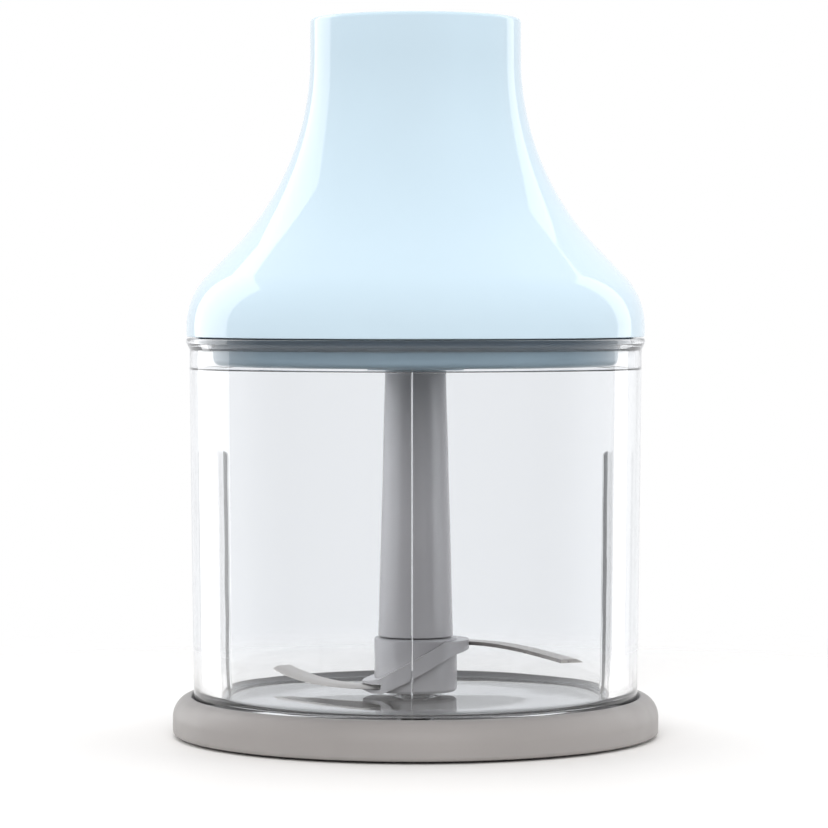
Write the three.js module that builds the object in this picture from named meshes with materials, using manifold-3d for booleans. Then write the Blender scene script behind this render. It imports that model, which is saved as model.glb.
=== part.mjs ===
// Chopping bowl for a hand blender: a geared lid with a socket neck, a clear bowl, a blade unit
// that stands on the bowl's centre pin, and a soft round base. Millimetres, +Z up, origin at the
// centre of the face that the base stands on. The blade unit, the planet carrier and the input
// shaft all turn about Z.
import * as THREE from "three";
import { mergeVertices } from "three/addons/utils/BufferGeometryUtils.js";
import Module from "manifold-3d";

const wasm = await Module();
wasm.setup();

// ------------------------------------------------------------------ driving dimensions

const SIDES = 36; // facets round the casings
const FINE_SIDES = 18; // facets round shafts, bushes and screws
const GAP = 0.3; // clearance between neighbouring pieces
const THROUGH = 1; // how far a cutting tool stands past the face that it cuts
const OVERLAP = 0.5; // how far pieces of one moulding run into each other before they are joined
const CHAMFER = 0.5; // broken edge on moulded and turned pieces

const BASE = {
  radius: 60,
  edge: 0.7,
  crestRadius: 55.65,
  crest: 9.9,
  lip: 4.6,
  foot: 0.6,
  underside: 1.0,
  floor: 2.6,
  ledgeRadius: 49.4,
  ledge: 5.2,
  wallRadius: 55.3,
  wallEdge: 0.3,
};
const FOOT = { inner: 50.8, outer: 56.0, top: 2.1, channel: 0.4 };

const BOWL = {
  restZ: 5.5,
  floorUnder: 7.05,
  floorTop: 9.65,
  shoulderZ: 90.7,
  rimTop: 98.1,
  rimRadius: 56.5,
  outerTop: 55.7,
  outerFoot: 54.8,
  innerTop: 49.2,
  innerFoot: 48.2,
  collarInner: 54.1,
  footRound: 3.5,
  footStepOuter: 48.8,
  footStepInner: 47.3,
  rimLip: 1.2,
  rimStep: 2.8,
  floorFillet: 2,
};
const RIB = { width: 1.6, footRadius: 46.9, topRadius: 47.5, top: 70, round: 1.4, root: 50.3 };
const KEY = { width: 5, inner: 49.5, outer: 53.5, bottom: 91.6, top: 96.5 };
const GUIDE = { width: 1.6, offset: 3.8, inner: 51.5, outer: 54.3, bottom: 90.5, top: 96 };

const PIN = { radius: 2.5, bottom: 3.5, top: 46.5, dome: 1.2, domeRadius: 1.75, domeStep: 0.36 };
const PIN_BOSS = { radius: 4.6, bottom: 3.2, top: 10.9 };
const PIVOT = { outer: 4.2, top: 49, bottom: 11.2, flangeRadius: 5.6, flange: 1 };

const STEM = {
  boreRadius: 4.5,
  boreTop: 50,
  coreRadius: 6.2,
  coreBottom: 12.6,
  footZ: 24.7,
  footRadius: 9.26,
  topZ: 89.6,
  topRadius: 7.55,
  chamfer: 0.7,
  socketFlats: 8.2,
  socketBottom: 80.5,
};
const HUB = { radius: 10.25, bottom: 10.7, top: 24.4, edge: 0.5, cuffX: 13.2, cuffY: 11.9, cuff: 4.4 };
const BLADE = {
  thickness: 0.9,
  middleZ: 17.6,
  rise: 5.1,
  rampHalf: 9,
  tipBend: 1.6,
  tipBendFrom: 0.5,
  steps: 14,
  bow: [12, 14],
  sweep: [24, -2],
  tip: [35.6, -27],
  halfWidths: [4.2, 3.6, 3.2, 2.9, 2.6],
  eyeRadius: 9.1,
  sweptRadius: 46.2,
};

const LID = {
  wall: 2.4,
  top: 176.6,
  neckRadius: 25.95,
  neckFoot: 167,
  mouthEdge: 0.3,
  neckSweep: 67.4,
  shoulderRadius: 38.5,
  shoulderZ: 100.9,
  shoulderRound: 18,
  skirtBottom: 98.4,
  edge: 1,
  grooveBottom: 99.0,
  grooveTop: 101.8,
  grooveLip: 53.4,
  grooveLand: 53.2,
  grooveLead: 0.4,
  landFlare: 3,
};
const NECK = {
  outer: 23.2,
  inner: 21.2,
  top: 174.6,
  bottom: 143,
  floor: 2,
  hole: 8.5,
  window: 9,
  windowBottom: 158,
  windowTop: 163,
  keyway: 4,
  keywayDepth: 1.1,
};

const COVER = {
  flangeRadius: 53.8,
  flangeBottom: 99.3,
  flangeTop: 101.5,
  plugRadius: 49.9,
  plugWall: 2.2,
  bottom: 91.3,
  floorTop: 93.3,
  edge: 0.8,
  bossRadius: 12,
  bossBottom: 90,
  bossTop: 95.7,
  boreRadius: 6.8,
  ribInner: 31.8,
  ribOuter: 33.8,
  ribTop: 99.8,
};
const POST = { radius: 3.6, ring: 41, top: 100.5, pilot: 1.6, pilotBottom: 94.5 };
const SEAL = {
  inner: 50.2,
  lip: 53.7,
  waist: 53.0,
  bottom: 96.8,
  lipTop: 98.0,
  waistBottom: 98.3,
  top: 99.0,
};
const SHAFT_SEAL = { bottom: 90.2, top: 92.2 };
const OUTPUT_BUSH = { inner: 4.8, outer: 6.5, bottom: 92.5, top: 97.2, flange: 1.2, flangeRadius: 8.5 };

const HOUSING = {
  inner: 34.3,
  outer: 36.5,
  flangeRadius: 45.5,
  flangeBottom: 100.8,
  flange: 2,
  roofUnder: 108.2,
  roofTop: 110.2,
  tubeRadius: 9.6,
  tubeShoulder: 142.7,
  spigotRadius: 8.2,
  tubeTop: 146,
  boreRadius: 5.6,
};
const SCREW = {
  shank: 1.3,
  bottom: 95,
  tip: 0.8,
  head: 2.6,
  headHeight: 1.8,
  headRound: 0.6,
  cross: 0.8,
  crossReach: 1.43,
  crossDepth: 0.9,
};

const GEAR = { module: 1.25, pressure: THREE.MathUtils.degToRad(25), addendum: 0.85, dedendum: 1.1 };
const TEETH = { sun: 12, planet: 18, ring: 48 };
const BACKLASH = 0.3;
const TRAIN = { bottom: 100.4, top: 107.4 };
const RING_GEAR = { outer: 34.0, bottom: 100.1, top: 107.7 };
const PLANETS = 3;

const SHAFT = { radius: 3, bottom: 100.6, top: 157 };
const INPUT_BUSH = { inner: 3.3, outer: 5.3 };
const LOWER_BUSH = { bottom: 108.5, top: 116.5 };
const UPPER_BUSH = { bottom: 138, top: 145.8 };
const COUPLING = {
  discRadius: 8,
  bottom: 146.3,
  discTop: 148.8,
  flats: 10,
  point: 1,
  top: 160,
  boreTop: 157.4,
};

const CARRIER = {
  radius: 26,
  bottom: 97.5,
  top: 100,
  shaftRadius: 4.5,
  shaftBottom: 90,
  hexFlats: 7.6,
  hexBottom: 81,
};
const PLANET_PIN = { radius: 2.0, bottom: 97.7, top: 107.9, hole: 2.3, gearBore: 2.35 };

// ------------------------------------------------------------------ finishes

function finish(color, roughness, metalness = 0, opacity = 1) {
  return new THREE.MeshStandardMaterial({
    color,
    roughness,
    metalness,
    opacity,
    transparent: opacity < 1,
  });
}

const FINISH = {
  lidBlue: finish("#cfe5f3", 0.16),
  plugGrey: finish("#8793a0", 0.35),
  bossGrey: finish("#6f6a74", 0.45),
  clear: finish("#eef2f5", 0.04, 0, 0.28),
  softGrey: finish("#aaa6a2", 0.62),
  footRubber: finish("#6e6b69", 0.85),
  stemGrey: finish("#9c9da0", 0.38),
  steel: finish("#c3bfbb", 0.26, 1),
  pinSteel: finish("#8f8c88", 0.3, 1),
  silicone: finish("#5d6872", 0.55),
  housing: finish("#8a8c8e", 0.6),
  acetal: finish("#e9e6dc", 0.42),
  bronze: finish("#a9824e", 0.45, 1),
  shaftSteel: finish("#a8a9ab", 0.25, 1),
};

// ------------------------------------------------------------------ shapes

// Points on an arc about (cx, cz), from one angle in degrees to another.
function arc(cx, cz, radius, from, to, steps) {
  const points = [];
  for (let i = 0; i <= steps; i++) {
    const angle = THREE.MathUtils.degToRad(from + ((to - from) * i) / steps);
    points.push([cx + radius * Math.cos(angle), cz + radius * Math.sin(angle)]);
  }
  return points;
}

// A profile of [radius, height] points turned about Z: it starts and ends on the axis.
function turned(profile, sides = SIDES) {
  const points = profile.map(([radius, height]) => new THREE.Vector2(radius, height));
  return new THREE.LatheGeometry(points, sides).rotateX(Math.PI / 2);
}

// A closed ring section turned about Z.
function turnedRing(profile, sides = SIDES) {
  return turned([...profile, profile[0]], sides);
}

function tube(inner, outer, bottom, top, sides = FINE_SIDES) {
  const section = [[inner, bottom], [outer, bottom], [outer, top], [inner, top]];
  return turnedRing(section, sides);
}

function rod(radius, bottom, top, sides = FINE_SIDES) {
  return turned([[0, bottom], [radius, bottom], [radius, top], [0, top]], sides);
}

// A hexagonal bar across flats, standing on Z.
function hexBar(flats, bottom, top) {
  return rod(flats / Math.sqrt(3), bottom, top, 6);
}

function block(x, y, z) {
  const geometry = new THREE.BoxGeometry(x[1] - x[0], y[1] - y[0], z[1] - z[0]);
  return geometry.translate((x[0] + x[1]) / 2, (y[0] + y[1]) / 2, (z[0] + z[1]) / 2);
}

// An outline in the XZ plane made into a plate that is centred on Y = 0.
function plateXZ(outline, width) {
  const settings = { depth: width, bevelEnabled: false, curveSegments: 4 };
  return new THREE.ExtrudeGeometry(outline, settings).rotateX(Math.PI / 2).translate(0, width / 2, 0);
}

// An outline in the XY plane raised between two heights.
function raised(outline, bottom, top) {
  const settings = { depth: top - bottom, bevelEnabled: false, curveSegments: FINE_SIDES / 2 };
  return new THREE.ExtrudeGeometry(outline, settings).translate(0, 0, bottom);
}

// ------------------------------------------------------------------ joining and cutting

function solid(geometry) {
  const bare = geometry.index ? geometry.toNonIndexed() : geometry.clone();
  bare.deleteAttribute("normal");
  bare.deleteAttribute("uv");
  const merged = mergeVertices(bare, 1e-4);
  return new wasm.Manifold(
    new wasm.Mesh({
      numProp: 3,
      vertProperties: merged.attributes.position.array,
      triVerts: new Uint32Array(merged.index.array),
    }),
  );
}

function geometryOf(body) {
  const mesh = body.getMesh();
  const geometry = new THREE.BufferGeometry();
  geometry.setAttribute("position", new THREE.BufferAttribute(mesh.vertProperties, 3));
  geometry.setIndex(new THREE.BufferAttribute(mesh.triVerts, 1));
  const faceted = geometry.toNonIndexed();
  faceted.computeVertexNormals();
  return faceted;
}

function joined(first, ...others) {
  const whole = others.reduce((sum, other) => sum.add(solid(other)), solid(first));
  return geometryOf(whole);
}

function cut(blank, ...tools) {
  const rest = tools.reduce((left, tool) => left.subtract(solid(tool)), solid(blank));
  return geometryOf(rest);
}

function common(first, second) {
  return geometryOf(solid(first).intersect(solid(second)));
}

// ------------------------------------------------------------------ base

function baseTray() {
  const { radius, edge, crestRadius, crest, lip, foot, underside, floor } = BASE;
  const { ledgeRadius, ledge, wallRadius, wallEdge } = BASE;
  const channelInner = FOOT.inner - FOOT.channel;
  const channelOuter = FOOT.outer + FOOT.channel;
  const channelRoof = FOOT.top + GAP;
  const shoulder = arc(0, 0, 1, 0, 84, 7).map(([x, z]) => [
    crestRadius + (radius - crestRadius) * x,
    lip + (crest - lip) * z,
  ]);
  return turned([
    [0, underside],
    [channelInner, underside],
    [channelInner, channelRoof],
    [channelOuter, channelRoof],
    [channelOuter, foot],
    [radius - edge, foot],
    [radius, foot + edge],
    ...shoulder,
    [wallRadius + wallEdge, crest],
    [wallRadius, crest - wallEdge],
    [wallRadius, ledge],
    [ledgeRadius, ledge],
    [ledgeRadius, floor],
    [0, floor],
  ]);
}

function footRing() {
  return tube(FOOT.inner, FOOT.outer, 0, FOOT.top, SIDES);
}

// ------------------------------------------------------------------ bowl

function bowlShell() {
  const { restZ, floorUnder, floorTop, shoulderZ, rimTop, footRound, floorFillet } = BOWL;
  return turnedRing([
    [PIN.radius + GAP, PIN_BOSS.bottom],
    [PIN_BOSS.radius, PIN_BOSS.bottom],
    [PIN_BOSS.radius, floorUnder],
    [BOWL.footStepInner, floorUnder],
    [BOWL.footStepOuter, restZ],
    ...arc(BOWL.outerFoot - footRound, restZ + footRound, footRound, -90, 0, 4),
    [BOWL.outerTop, shoulderZ],
    [BOWL.outerTop, rimTop - BOWL.rimStep],
    [BOWL.rimRadius, rimTop - BOWL.rimLip],
    [BOWL.rimRadius, rimTop],
    [BOWL.collarInner, rimTop],
    [BOWL.collarInner, shoulderZ],
    [BOWL.innerTop, shoulderZ],
    ...arc(BOWL.innerFoot - floorFillet, floorTop + floorFillet, floorFillet, 0, -90, 3),
    [PIN_BOSS.radius, floorTop],
    [PIN_BOSS.radius, PIN_BOSS.top],
    [PIN.radius + GAP, PIN_BOSS.top],
  ]);
}

// A stirring rib on the inner wall at +X, with a rounded top end.
function bowlRib() {
  const foot = BOWL.floorTop - OVERLAP;
  const roundCentre = RIB.topRadius + RIB.round;
  const outline = new THREE.Shape();
  outline.moveTo(RIB.footRadius, foot);
  outline.lineTo(RIB.root, foot);
  outline.lineTo(RIB.root, RIB.top);
  outline.lineTo(roundCentre, RIB.top);
  outline.absarc(roundCentre, RIB.top - RIB.round, RIB.round, Math.PI / 2, Math.PI);
  outline.closePath();
  return plateXZ(outline, RIB.width);
}

// One of the two upright guides at the back of the collar that stop the lid from turning.
function keyGuide(side) {
  const x = side * GUIDE.offset;
  return block(
    [x - GUIDE.width / 2, x + GUIDE.width / 2],
    [GUIDE.inner, GUIDE.outer],
    [GUIDE.bottom, GUIDE.top],
  );
}

function bowlWithRibs() {
  return joined(bowlShell(), bowlRib(), bowlRib().rotateZ(Math.PI), keyGuide(-1), keyGuide(1));
}

function pivotPin() {
  const { radius, bottom, top, dome, domeRadius, domeStep } = PIN;
  return turned(
    [[0, bottom], [radius - CHAMFER, bottom], [radius, bottom + CHAMFER], [radius, top - dome],
      [domeRadius, top - domeStep], [0, top]],
    FINE_SIDES,
  );
}

// ------------------------------------------------------------------ blade unit

function pivotSleeve() {
  const { outer, top, bottom, flangeRadius, flange } = PIVOT;
  const bore = PIN.radius + GAP;
  return turnedRing(
    [[bore, bottom], [flangeRadius, bottom], [flangeRadius, bottom + flange],
      [outer, bottom + flange], [outer, top], [bore, top]],
    FINE_SIDES,
  );
}

function bladeStem() {
  const body = turned([
    [0, STEM.boreTop],
    [STEM.boreRadius, STEM.boreTop],
    [STEM.boreRadius, STEM.coreBottom],
    [STEM.coreRadius, STEM.coreBottom],
    [STEM.coreRadius, STEM.footZ],
    [STEM.footRadius, STEM.footZ],
    [STEM.topRadius, STEM.topZ - STEM.chamfer],
    [STEM.topRadius - STEM.chamfer, STEM.topZ],
    [0, STEM.topZ],
  ], FINE_SIDES);
  return cut(body, hexBar(STEM.socketFlats, STEM.socketBottom, STEM.topZ + THROUGH));
}

const bladeCurve = new THREE.CubicBezierCurve(
  new THREE.Vector2(0, 0),
  new THREE.Vector2(...BLADE.bow),
  new THREE.Vector2(...BLADE.sweep),
  new THREE.Vector2(...BLADE.tip),
);

// Half the width of the blade at t, 0 at the stem and 1 at the tip.
function bladeHalfWidth(t) {
  const place = t * (BLADE.halfWidths.length - 1);
  const index = Math.min(Math.floor(place), BLADE.halfWidths.length - 2);
  return THREE.MathUtils.lerp(BLADE.halfWidths[index], BLADE.halfWidths[index + 1], place - index);
}

// Height of the blade's middle plane: a ramp through the hub, level wings, tips bent to mid height.
function bladeHeight(t, x) {
  const ramp = BLADE.rise * THREE.MathUtils.clamp(x / BLADE.rampHalf, -1, 1);
  const bend = THREE.MathUtils.clamp((t - BLADE.tipBendFrom) / (1 - BLADE.tipBendFrom), 0, 1);
  return BLADE.middleZ + ramp - Math.sign(x) * BLADE.tipBend * bend * bend;
}

// A strip along the whole S of the blade, from one tip to the other, wider by `margin` each way.
function bladeRibbon(thickness, margin) {
  const ribbon = new THREE.BoxGeometry(2, 2, thickness, 2 * BLADE.steps, 1, 1);
  const position = ribbon.attributes.position;
  for (let i = 0; i < position.count; i++) {
    const side = position.getX(i) < 0 ? -1 : 1;
    const t = Math.min(Math.abs(position.getX(i)), 1);
    const across = side * position.getY(i) * (bladeHalfWidth(t) + margin);
    const centre = bladeCurve.getPoint(t);
    const along = bladeCurve.getTangent(t);
    const x = side * (centre.x - along.y * across);
    const y = side * (centre.y + along.x * across);
    position.setXYZ(i, x, y, bladeHeight(t, x) + position.getZ(i));
  }
  return ribbon;
}

// A level plate at either side and a ramp between them, as the blade runs through its collar.
function rampPlate(thickness) {
  const low = BLADE.middleZ - BLADE.rise;
  const high = BLADE.middleZ + BLADE.rise;
  const reach = HUB.cuffX + THROUGH;
  const line = [[-reach, low], [-BLADE.rampHalf, low], [BLADE.rampHalf, high], [reach, high]];
  const under = line.map(([x, z]) => new THREE.Vector2(x, z - thickness / 2));
  const over = line.map(([x, z]) => new THREE.Vector2(x, z + thickness / 2)).reverse();
  return plateXZ(new THREE.Shape([...under, ...over]), 2 * reach);
}

// The S-shaped strip with the round eye at its middle that the stem passes through.
function bladeBlank(thickness, margin) {
  const eye = common(rampPlate(thickness), rod(BLADE.eyeRadius + margin, HUB.bottom, HUB.top));
  return joined(bladeRibbon(thickness, margin), eye);
}

// The ground strip: its tips are trimmed to the circle that they sweep.
function bladeStrip() {
  const circle = rod(BLADE.sweptRadius, HUB.bottom, HUB.top, SIDES);
  const hole = rod(STEM.coreRadius + GAP, HUB.bottom, HUB.top);
  return cut(common(bladeBlank(BLADE.thickness, 0), circle), hole);
}

// The collar moulded round the blade: a ring, and a sloping cuff that holds the strip.
function bladeHub() {
  const { radius, bottom, top, edge, cuffX, cuffY } = HUB;
  const ring = turned([
    [0, bottom],
    [radius - 2 * edge, bottom],
    [radius, bottom + edge],
    [radius, top],
    [0, top],
  ], SIDES);
  const oval = rod(1, bottom, top - edge, SIDES).scale(cuffX, cuffY, 1);
  const cuff = common(rampPlate(HUB.cuff), oval);
  const bore = rod(STEM.coreRadius + GAP, bottom - THROUGH, top + THROUGH);
  return cut(joined(ring, cuff), bore, bladeBlank(BLADE.thickness + 2 * GAP, GAP));
}

// ------------------------------------------------------------------ lid

// The bell outline of the lid, from the skirt up to the neck, moved inwards by `inset`.
function bellOutline(inset) {
  const neckCentre = [LID.neckRadius + LID.neckSweep, LID.neckFoot];
  const shoulderCentre = [LID.shoulderRadius, LID.shoulderZ];
  const dr = neckCentre[0] - shoulderCentre[0];
  const dz = neckCentre[1] - shoulderCentre[1];
  const reach = (LID.neckSweep + LID.shoulderRound) / Math.hypot(dr, dz);
  const slope = THREE.MathUtils.radToDeg(Math.atan2(dz, dr) - Math.acos(reach));
  return {
    slope,
    shoulder: arc(...shoulderCentre, LID.shoulderRound - inset, 0, slope, inset ? 5 : 7),
    neck: arc(...neckCentre, LID.neckSweep + inset, 180 + slope, 180, inset ? 6 : 8),
  };
}

function lidShell() {
  const outside = bellOutline(0);
  const inside = bellOutline(LID.wall);
  const skirt = LID.shoulderRadius + LID.shoulderRound;
  const underShoulder = inside.shoulder.filter(([radius]) => radius < LID.grooveLand).reverse();
  return turnedRing([
    [skirt, LID.skirtBottom],
    ...outside.shoulder,
    ...outside.neck,
    ...arc(LID.neckRadius - LID.edge, LID.top - LID.edge, LID.edge, 0, 90, 2),
    [LID.neckRadius - LID.wall + LID.mouthEdge, LID.top],
    [LID.neckRadius - LID.wall, LID.top - LID.mouthEdge],
    ...inside.neck.reverse(),
    ...underShoulder,
    [LID.grooveLand, underShoulder.at(-1)[1] - LID.landFlare],
    [LID.grooveLand, LID.grooveTop],
    [skirt - LID.wall, LID.grooveTop],
    [skirt - LID.wall, LID.grooveBottom],
    [LID.grooveLip, LID.grooveBottom],
    [LID.grooveLip + LID.grooveLead, LID.skirtBottom],
  ]);
}

// The socket that takes the blender's drive foot: two latch windows and two keyways.
function neckSleeve() {
  const { outer, inner, top, bottom, floor, hole } = NECK;
  const cup = turnedRing([
    [hole, bottom],
    [outer, bottom],
    [outer, top - CHAMFER],
    [outer - CHAMFER, top],
    [inner + CHAMFER, top],
    [inner, top - CHAMFER],
    [inner, bottom + floor],
    [hole, bottom + floor],
  ]);
  const across = outer + THROUGH;
  const windows = block([-across, across], [-NECK.window / 2, NECK.window / 2],
    [NECK.windowBottom, NECK.windowTop]);
  const depth = inner + NECK.keywayDepth;
  const keyways = block([-NECK.keyway / 2, NECK.keyway / 2], [-depth, depth],
    [bottom + floor + THROUGH, top + THROUGH]);
  return cut(cup, windows, keyways);
}

function postPlaces() {
  const places = [];
  for (let i = 0; i < PLANETS; i++) {
    const angle = Math.PI / 3 + (2 * Math.PI * i) / PLANETS;
    places.push([POST.ring * Math.cos(angle), POST.ring * Math.sin(angle)]);
  }
  return places;
}

// The plug under the lid: it closes the bowl and carries the gearbox on three screw posts.
function gearboxCover() {
  const { plugRadius, plugWall, bottom, floorTop, flangeBottom, flangeTop, edge } = COVER;
  const pan = turnedRing([
    [COVER.boreRadius, COVER.bossBottom],
    [COVER.bossRadius, COVER.bossBottom],
    [COVER.bossRadius, bottom],
    [plugRadius - edge, bottom],
    [plugRadius, bottom + edge],
    [plugRadius, flangeBottom],
    [COVER.flangeRadius, flangeBottom],
    [COVER.flangeRadius, flangeTop],
    [plugRadius - plugWall, flangeTop],
    [plugRadius - plugWall, floorTop],
    [COVER.ribOuter, floorTop],
    [COVER.ribOuter, COVER.ribTop],
    [COVER.ribInner, COVER.ribTop],
    [COVER.ribInner, floorTop],
    [COVER.bossRadius, floorTop],
    [COVER.bossRadius, COVER.bossTop],
    [COVER.boreRadius, COVER.bossTop],
  ]);
  const key = block([-KEY.width / 2, KEY.width / 2], [KEY.inner, KEY.outer], [KEY.bottom, KEY.top]);
  const posts = postPlaces().map(([x, y]) =>
    rod(POST.radius, floorTop - OVERLAP, POST.top).translate(x, y, 0));
  const pilots = postPlaces().map(([x, y]) =>
    rod(POST.pilot, POST.pilotBottom, POST.top + THROUGH, FINE_SIDES / 2).translate(x, y, 0));
  return cut(joined(pan, key, ...posts), ...pilots);
}

function lidSeal() {
  const { inner, lip, waist, bottom, lipTop, waistBottom, top } = SEAL;
  return turnedRing([
    [inner, bottom],
    [lip, bottom],
    [lip, lipTop],
    [waist, waistBottom],
    [waist, top],
    [inner, top],
  ]);
}

function outputBush() {
  const { inner, outer, bottom, top, flange, flangeRadius } = OUTPUT_BUSH;
  return turnedRing(
    [[inner, bottom], [outer, bottom], [outer, top - flange], [flangeRadius, top - flange],
      [flangeRadius, top], [inner, top]],
    FINE_SIDES,
  );
}

function gearHousing() {
  const { inner, outer, flangeRadius, flangeBottom, flange, roofUnder, roofTop } = HOUSING;
  const shell = turnedRing([
    [inner, flangeBottom],
    [flangeRadius, flangeBottom],
    [flangeRadius, flangeBottom + flange],
    [outer, flangeBottom + flange],
    [outer, roofTop],
    [HOUSING.tubeRadius, roofTop],
    [HOUSING.tubeRadius, HOUSING.tubeShoulder],
    [HOUSING.spigotRadius, HOUSING.tubeShoulder],
    [HOUSING.spigotRadius, HOUSING.tubeTop],
    [HOUSING.boreRadius, HOUSING.tubeTop],
    [HOUSING.boreRadius, roofUnder],
    [inner, roofUnder],
  ]);
  const holes = postPlaces().map(([x, y]) =>
    rod(POST.pilot, flangeBottom - THROUGH, flangeBottom + flange + THROUGH, FINE_SIDES / 2)
      .translate(x, y, 0));
  return cut(shell, ...holes);
}

// A pan-head screw with a cross recess, standing on Z at the origin.
function housingScrew() {
  const seat = HOUSING.flangeBottom + HOUSING.flange + GAP;
  const top = seat + SCREW.headHeight;
  const body = turned(
    [[0, SCREW.bottom], [SCREW.shank, SCREW.bottom + SCREW.tip], [SCREW.shank, seat],
      [SCREW.head, seat], [SCREW.head, top - SCREW.headRound],
      [SCREW.head - SCREW.headRound, top], [0, top]],
    FINE_SIDES / 2,
  );
  const slotX = block(
    [-SCREW.crossReach, SCREW.crossReach],
    [-SCREW.cross / 2, SCREW.cross / 2],
    [top - SCREW.crossDepth, top + THROUGH],
  );
  return cut(body, slotX, slotX.clone().rotateZ(Math.PI / 2));
}

// ------------------------------------------------------------------ gears

function involute(angle) {
  return Math.tan(angle) - angle;
}

// Corner points of a toothed outline with a tooth centred on angle 0. `thin` is taken off each
// tooth's width at the pitch circle.
function toothPoints(teeth, below, above, thin) {
  const pitch = (GEAR.module * teeth) / 2;
  const foot = pitch * Math.cos(GEAR.pressure);
  const halfTooth = Math.PI / (2 * teeth) - thin / (2 * pitch) + involute(GEAR.pressure);
  const radii = [pitch - below * GEAR.module, pitch, pitch + above * GEAR.module];
  const flank = radii.map((radius) => {
    const bend = involute(Math.acos(Math.min(foot / radius, 1)));
    return [radius, halfTooth - bend];
  });
  const points = [];
  for (let i = 0; i < teeth; i++) {
    const middle = (2 * Math.PI * i) / teeth;
    flank.forEach(([radius, half]) => points.push([radius, middle - half]));
    flank.slice().reverse().forEach(([radius, half]) => points.push([radius, middle + half]));
  }
  return points.map(([radius, angle]) =>
    new THREE.Vector2(radius * Math.cos(angle), radius * Math.sin(angle)));
}

function spurGear(teeth, bore) {
  const outline = new THREE.Shape(toothPoints(teeth, GEAR.dedendum, GEAR.addendum, BACKLASH / 2));
  outline.holes.push(new THREE.Path().absarc(0, 0, bore, 0, 2 * Math.PI));
  return raised(outline, TRAIN.bottom, TRAIN.top);
}

// The fixed ring gear: its tooth gaps are the outline of an outside gear, half a pitch round.
function ringGear() {
  const outline = new THREE.Shape().absarc(0, 0, RING_GEAR.outer, 0, 2 * Math.PI);
  const gaps = toothPoints(TEETH.ring, GEAR.addendum, GEAR.dedendum, -BACKLASH / 2);
  const half = Math.PI / TEETH.ring;
  outline.holes.push(new THREE.Path(gaps.map((point) => point.rotateAround(new THREE.Vector2(), half))));
  return raised(outline, RING_GEAR.bottom, RING_GEAR.top);
}

const CENTRE_DISTANCE = (GEAR.module * (TEETH.sun + TEETH.planet)) / 2;

function planetPlaces() {
  const places = [];
  for (let i = 0; i < PLANETS; i++) {
    const angle = (2 * Math.PI * i) / PLANETS;
    places.push({
      x: CENTRE_DISTANCE * Math.cos(angle),
      y: CENTRE_DISTANCE * Math.sin(angle),
      turn: angle + Math.PI + Math.PI / TEETH.planet,
    });
  }
  return places;
}

// The carrier: a disc for the planet pins, the output shaft and the hexagon that drives the stem.
function planetCarrier() {
  const { radius, bottom, top, shaftRadius, shaftBottom, hexFlats, hexBottom } = CARRIER;
  const body = joined(
    rod(radius, bottom, top, SIDES),
    rod(shaftRadius, shaftBottom, bottom + OVERLAP),
    hexBar(hexFlats, hexBottom, shaftBottom + OVERLAP),
  );
  const holes = planetPlaces().map(({ x, y }) =>
    rod(PLANET_PIN.hole, bottom - THROUGH, top + THROUGH, FINE_SIDES).translate(x, y, 0));
  return cut(body, ...holes);
}

function planetPin() {
  const { radius, bottom, top } = PLANET_PIN;
  return turned(
    [[0, bottom], [radius, bottom], [radius, top - CHAMFER], [radius - CHAMFER, top], [0, top]],
    FINE_SIDES / 2,
  );
}

// The hexagonal drive head in the socket, pushed on to the input shaft.
function driveCoupling() {
  const { discRadius, bottom, discTop, flats, top, boreTop, point } = COUPLING;
  const corner = flats / Math.sqrt(3);
  const disc = turned(
    [[0, bottom], [discRadius, bottom], [discRadius, discTop - CHAMFER],
      [discRadius - CHAMFER, discTop], [0, discTop]],
    FINE_SIDES,
  );
  const hexagon = turned(
    [[0, discTop - OVERLAP], [corner, discTop - OVERLAP], [corner, top - point],
      [corner - point, top], [0, top]],
    6,
  );
  return cut(joined(disc, hexagon), rod(SHAFT.radius + GAP, bottom - THROUGH, boreTop));
}

function inputShaft() {
  const { radius, bottom, top } = SHAFT;
  return turned(
    [[0, bottom], [radius, bottom], [radius, top - CHAMFER], [radius - CHAMFER, top], [0, top]],
    FINE_SIDES,
  );
}

// ------------------------------------------------------------------ assembly

function piece(name, geometry, material) {
  const mesh = new THREE.Mesh(geometry, material);
  mesh.name = name;
  return mesh;
}

function body(...members) {
  const group = new THREE.Group();
  group.add(...members);
  return group;
}

function bladeUnit() {
  return body(
    piece("pivot_sleeve", pivotSleeve(), FINISH.bossGrey),
    piece("blade_stem", bladeStem(), FINISH.stemGrey),
    piece("blade_hub", bladeHub(), FINISH.stemGrey),
    piece("blade_strip", bladeStrip(), FINISH.steel),
  );
}

function inputDrive() {
  return body(
    piece("input_shaft", inputShaft(), FINISH.shaftSteel),
    piece("sun_gear", spurGear(TEETH.sun, SHAFT.radius + GAP), FINISH.acetal),
    piece("drive_coupling", driveCoupling(), FINISH.housing),
  );
}

function planetTrain() {
  const train = body(piece("planet_carrier", planetCarrier(), FINISH.acetal));
  planetPlaces().forEach(({ x, y, turn }, i) => {
    const pin = piece(`planet_pin_${i + 1}`, planetPin(), FINISH.shaftSteel);
    const gear = piece(`planet_gear_${i + 1}`, spurGear(TEETH.planet, PLANET_PIN.gearBore), FINISH.acetal);
    const axle = body(pin, gear);
    axle.position.set(x, y, 0);
    gear.rotation.z = turn;
    train.add(axle);
  });
  return train;
}

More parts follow.
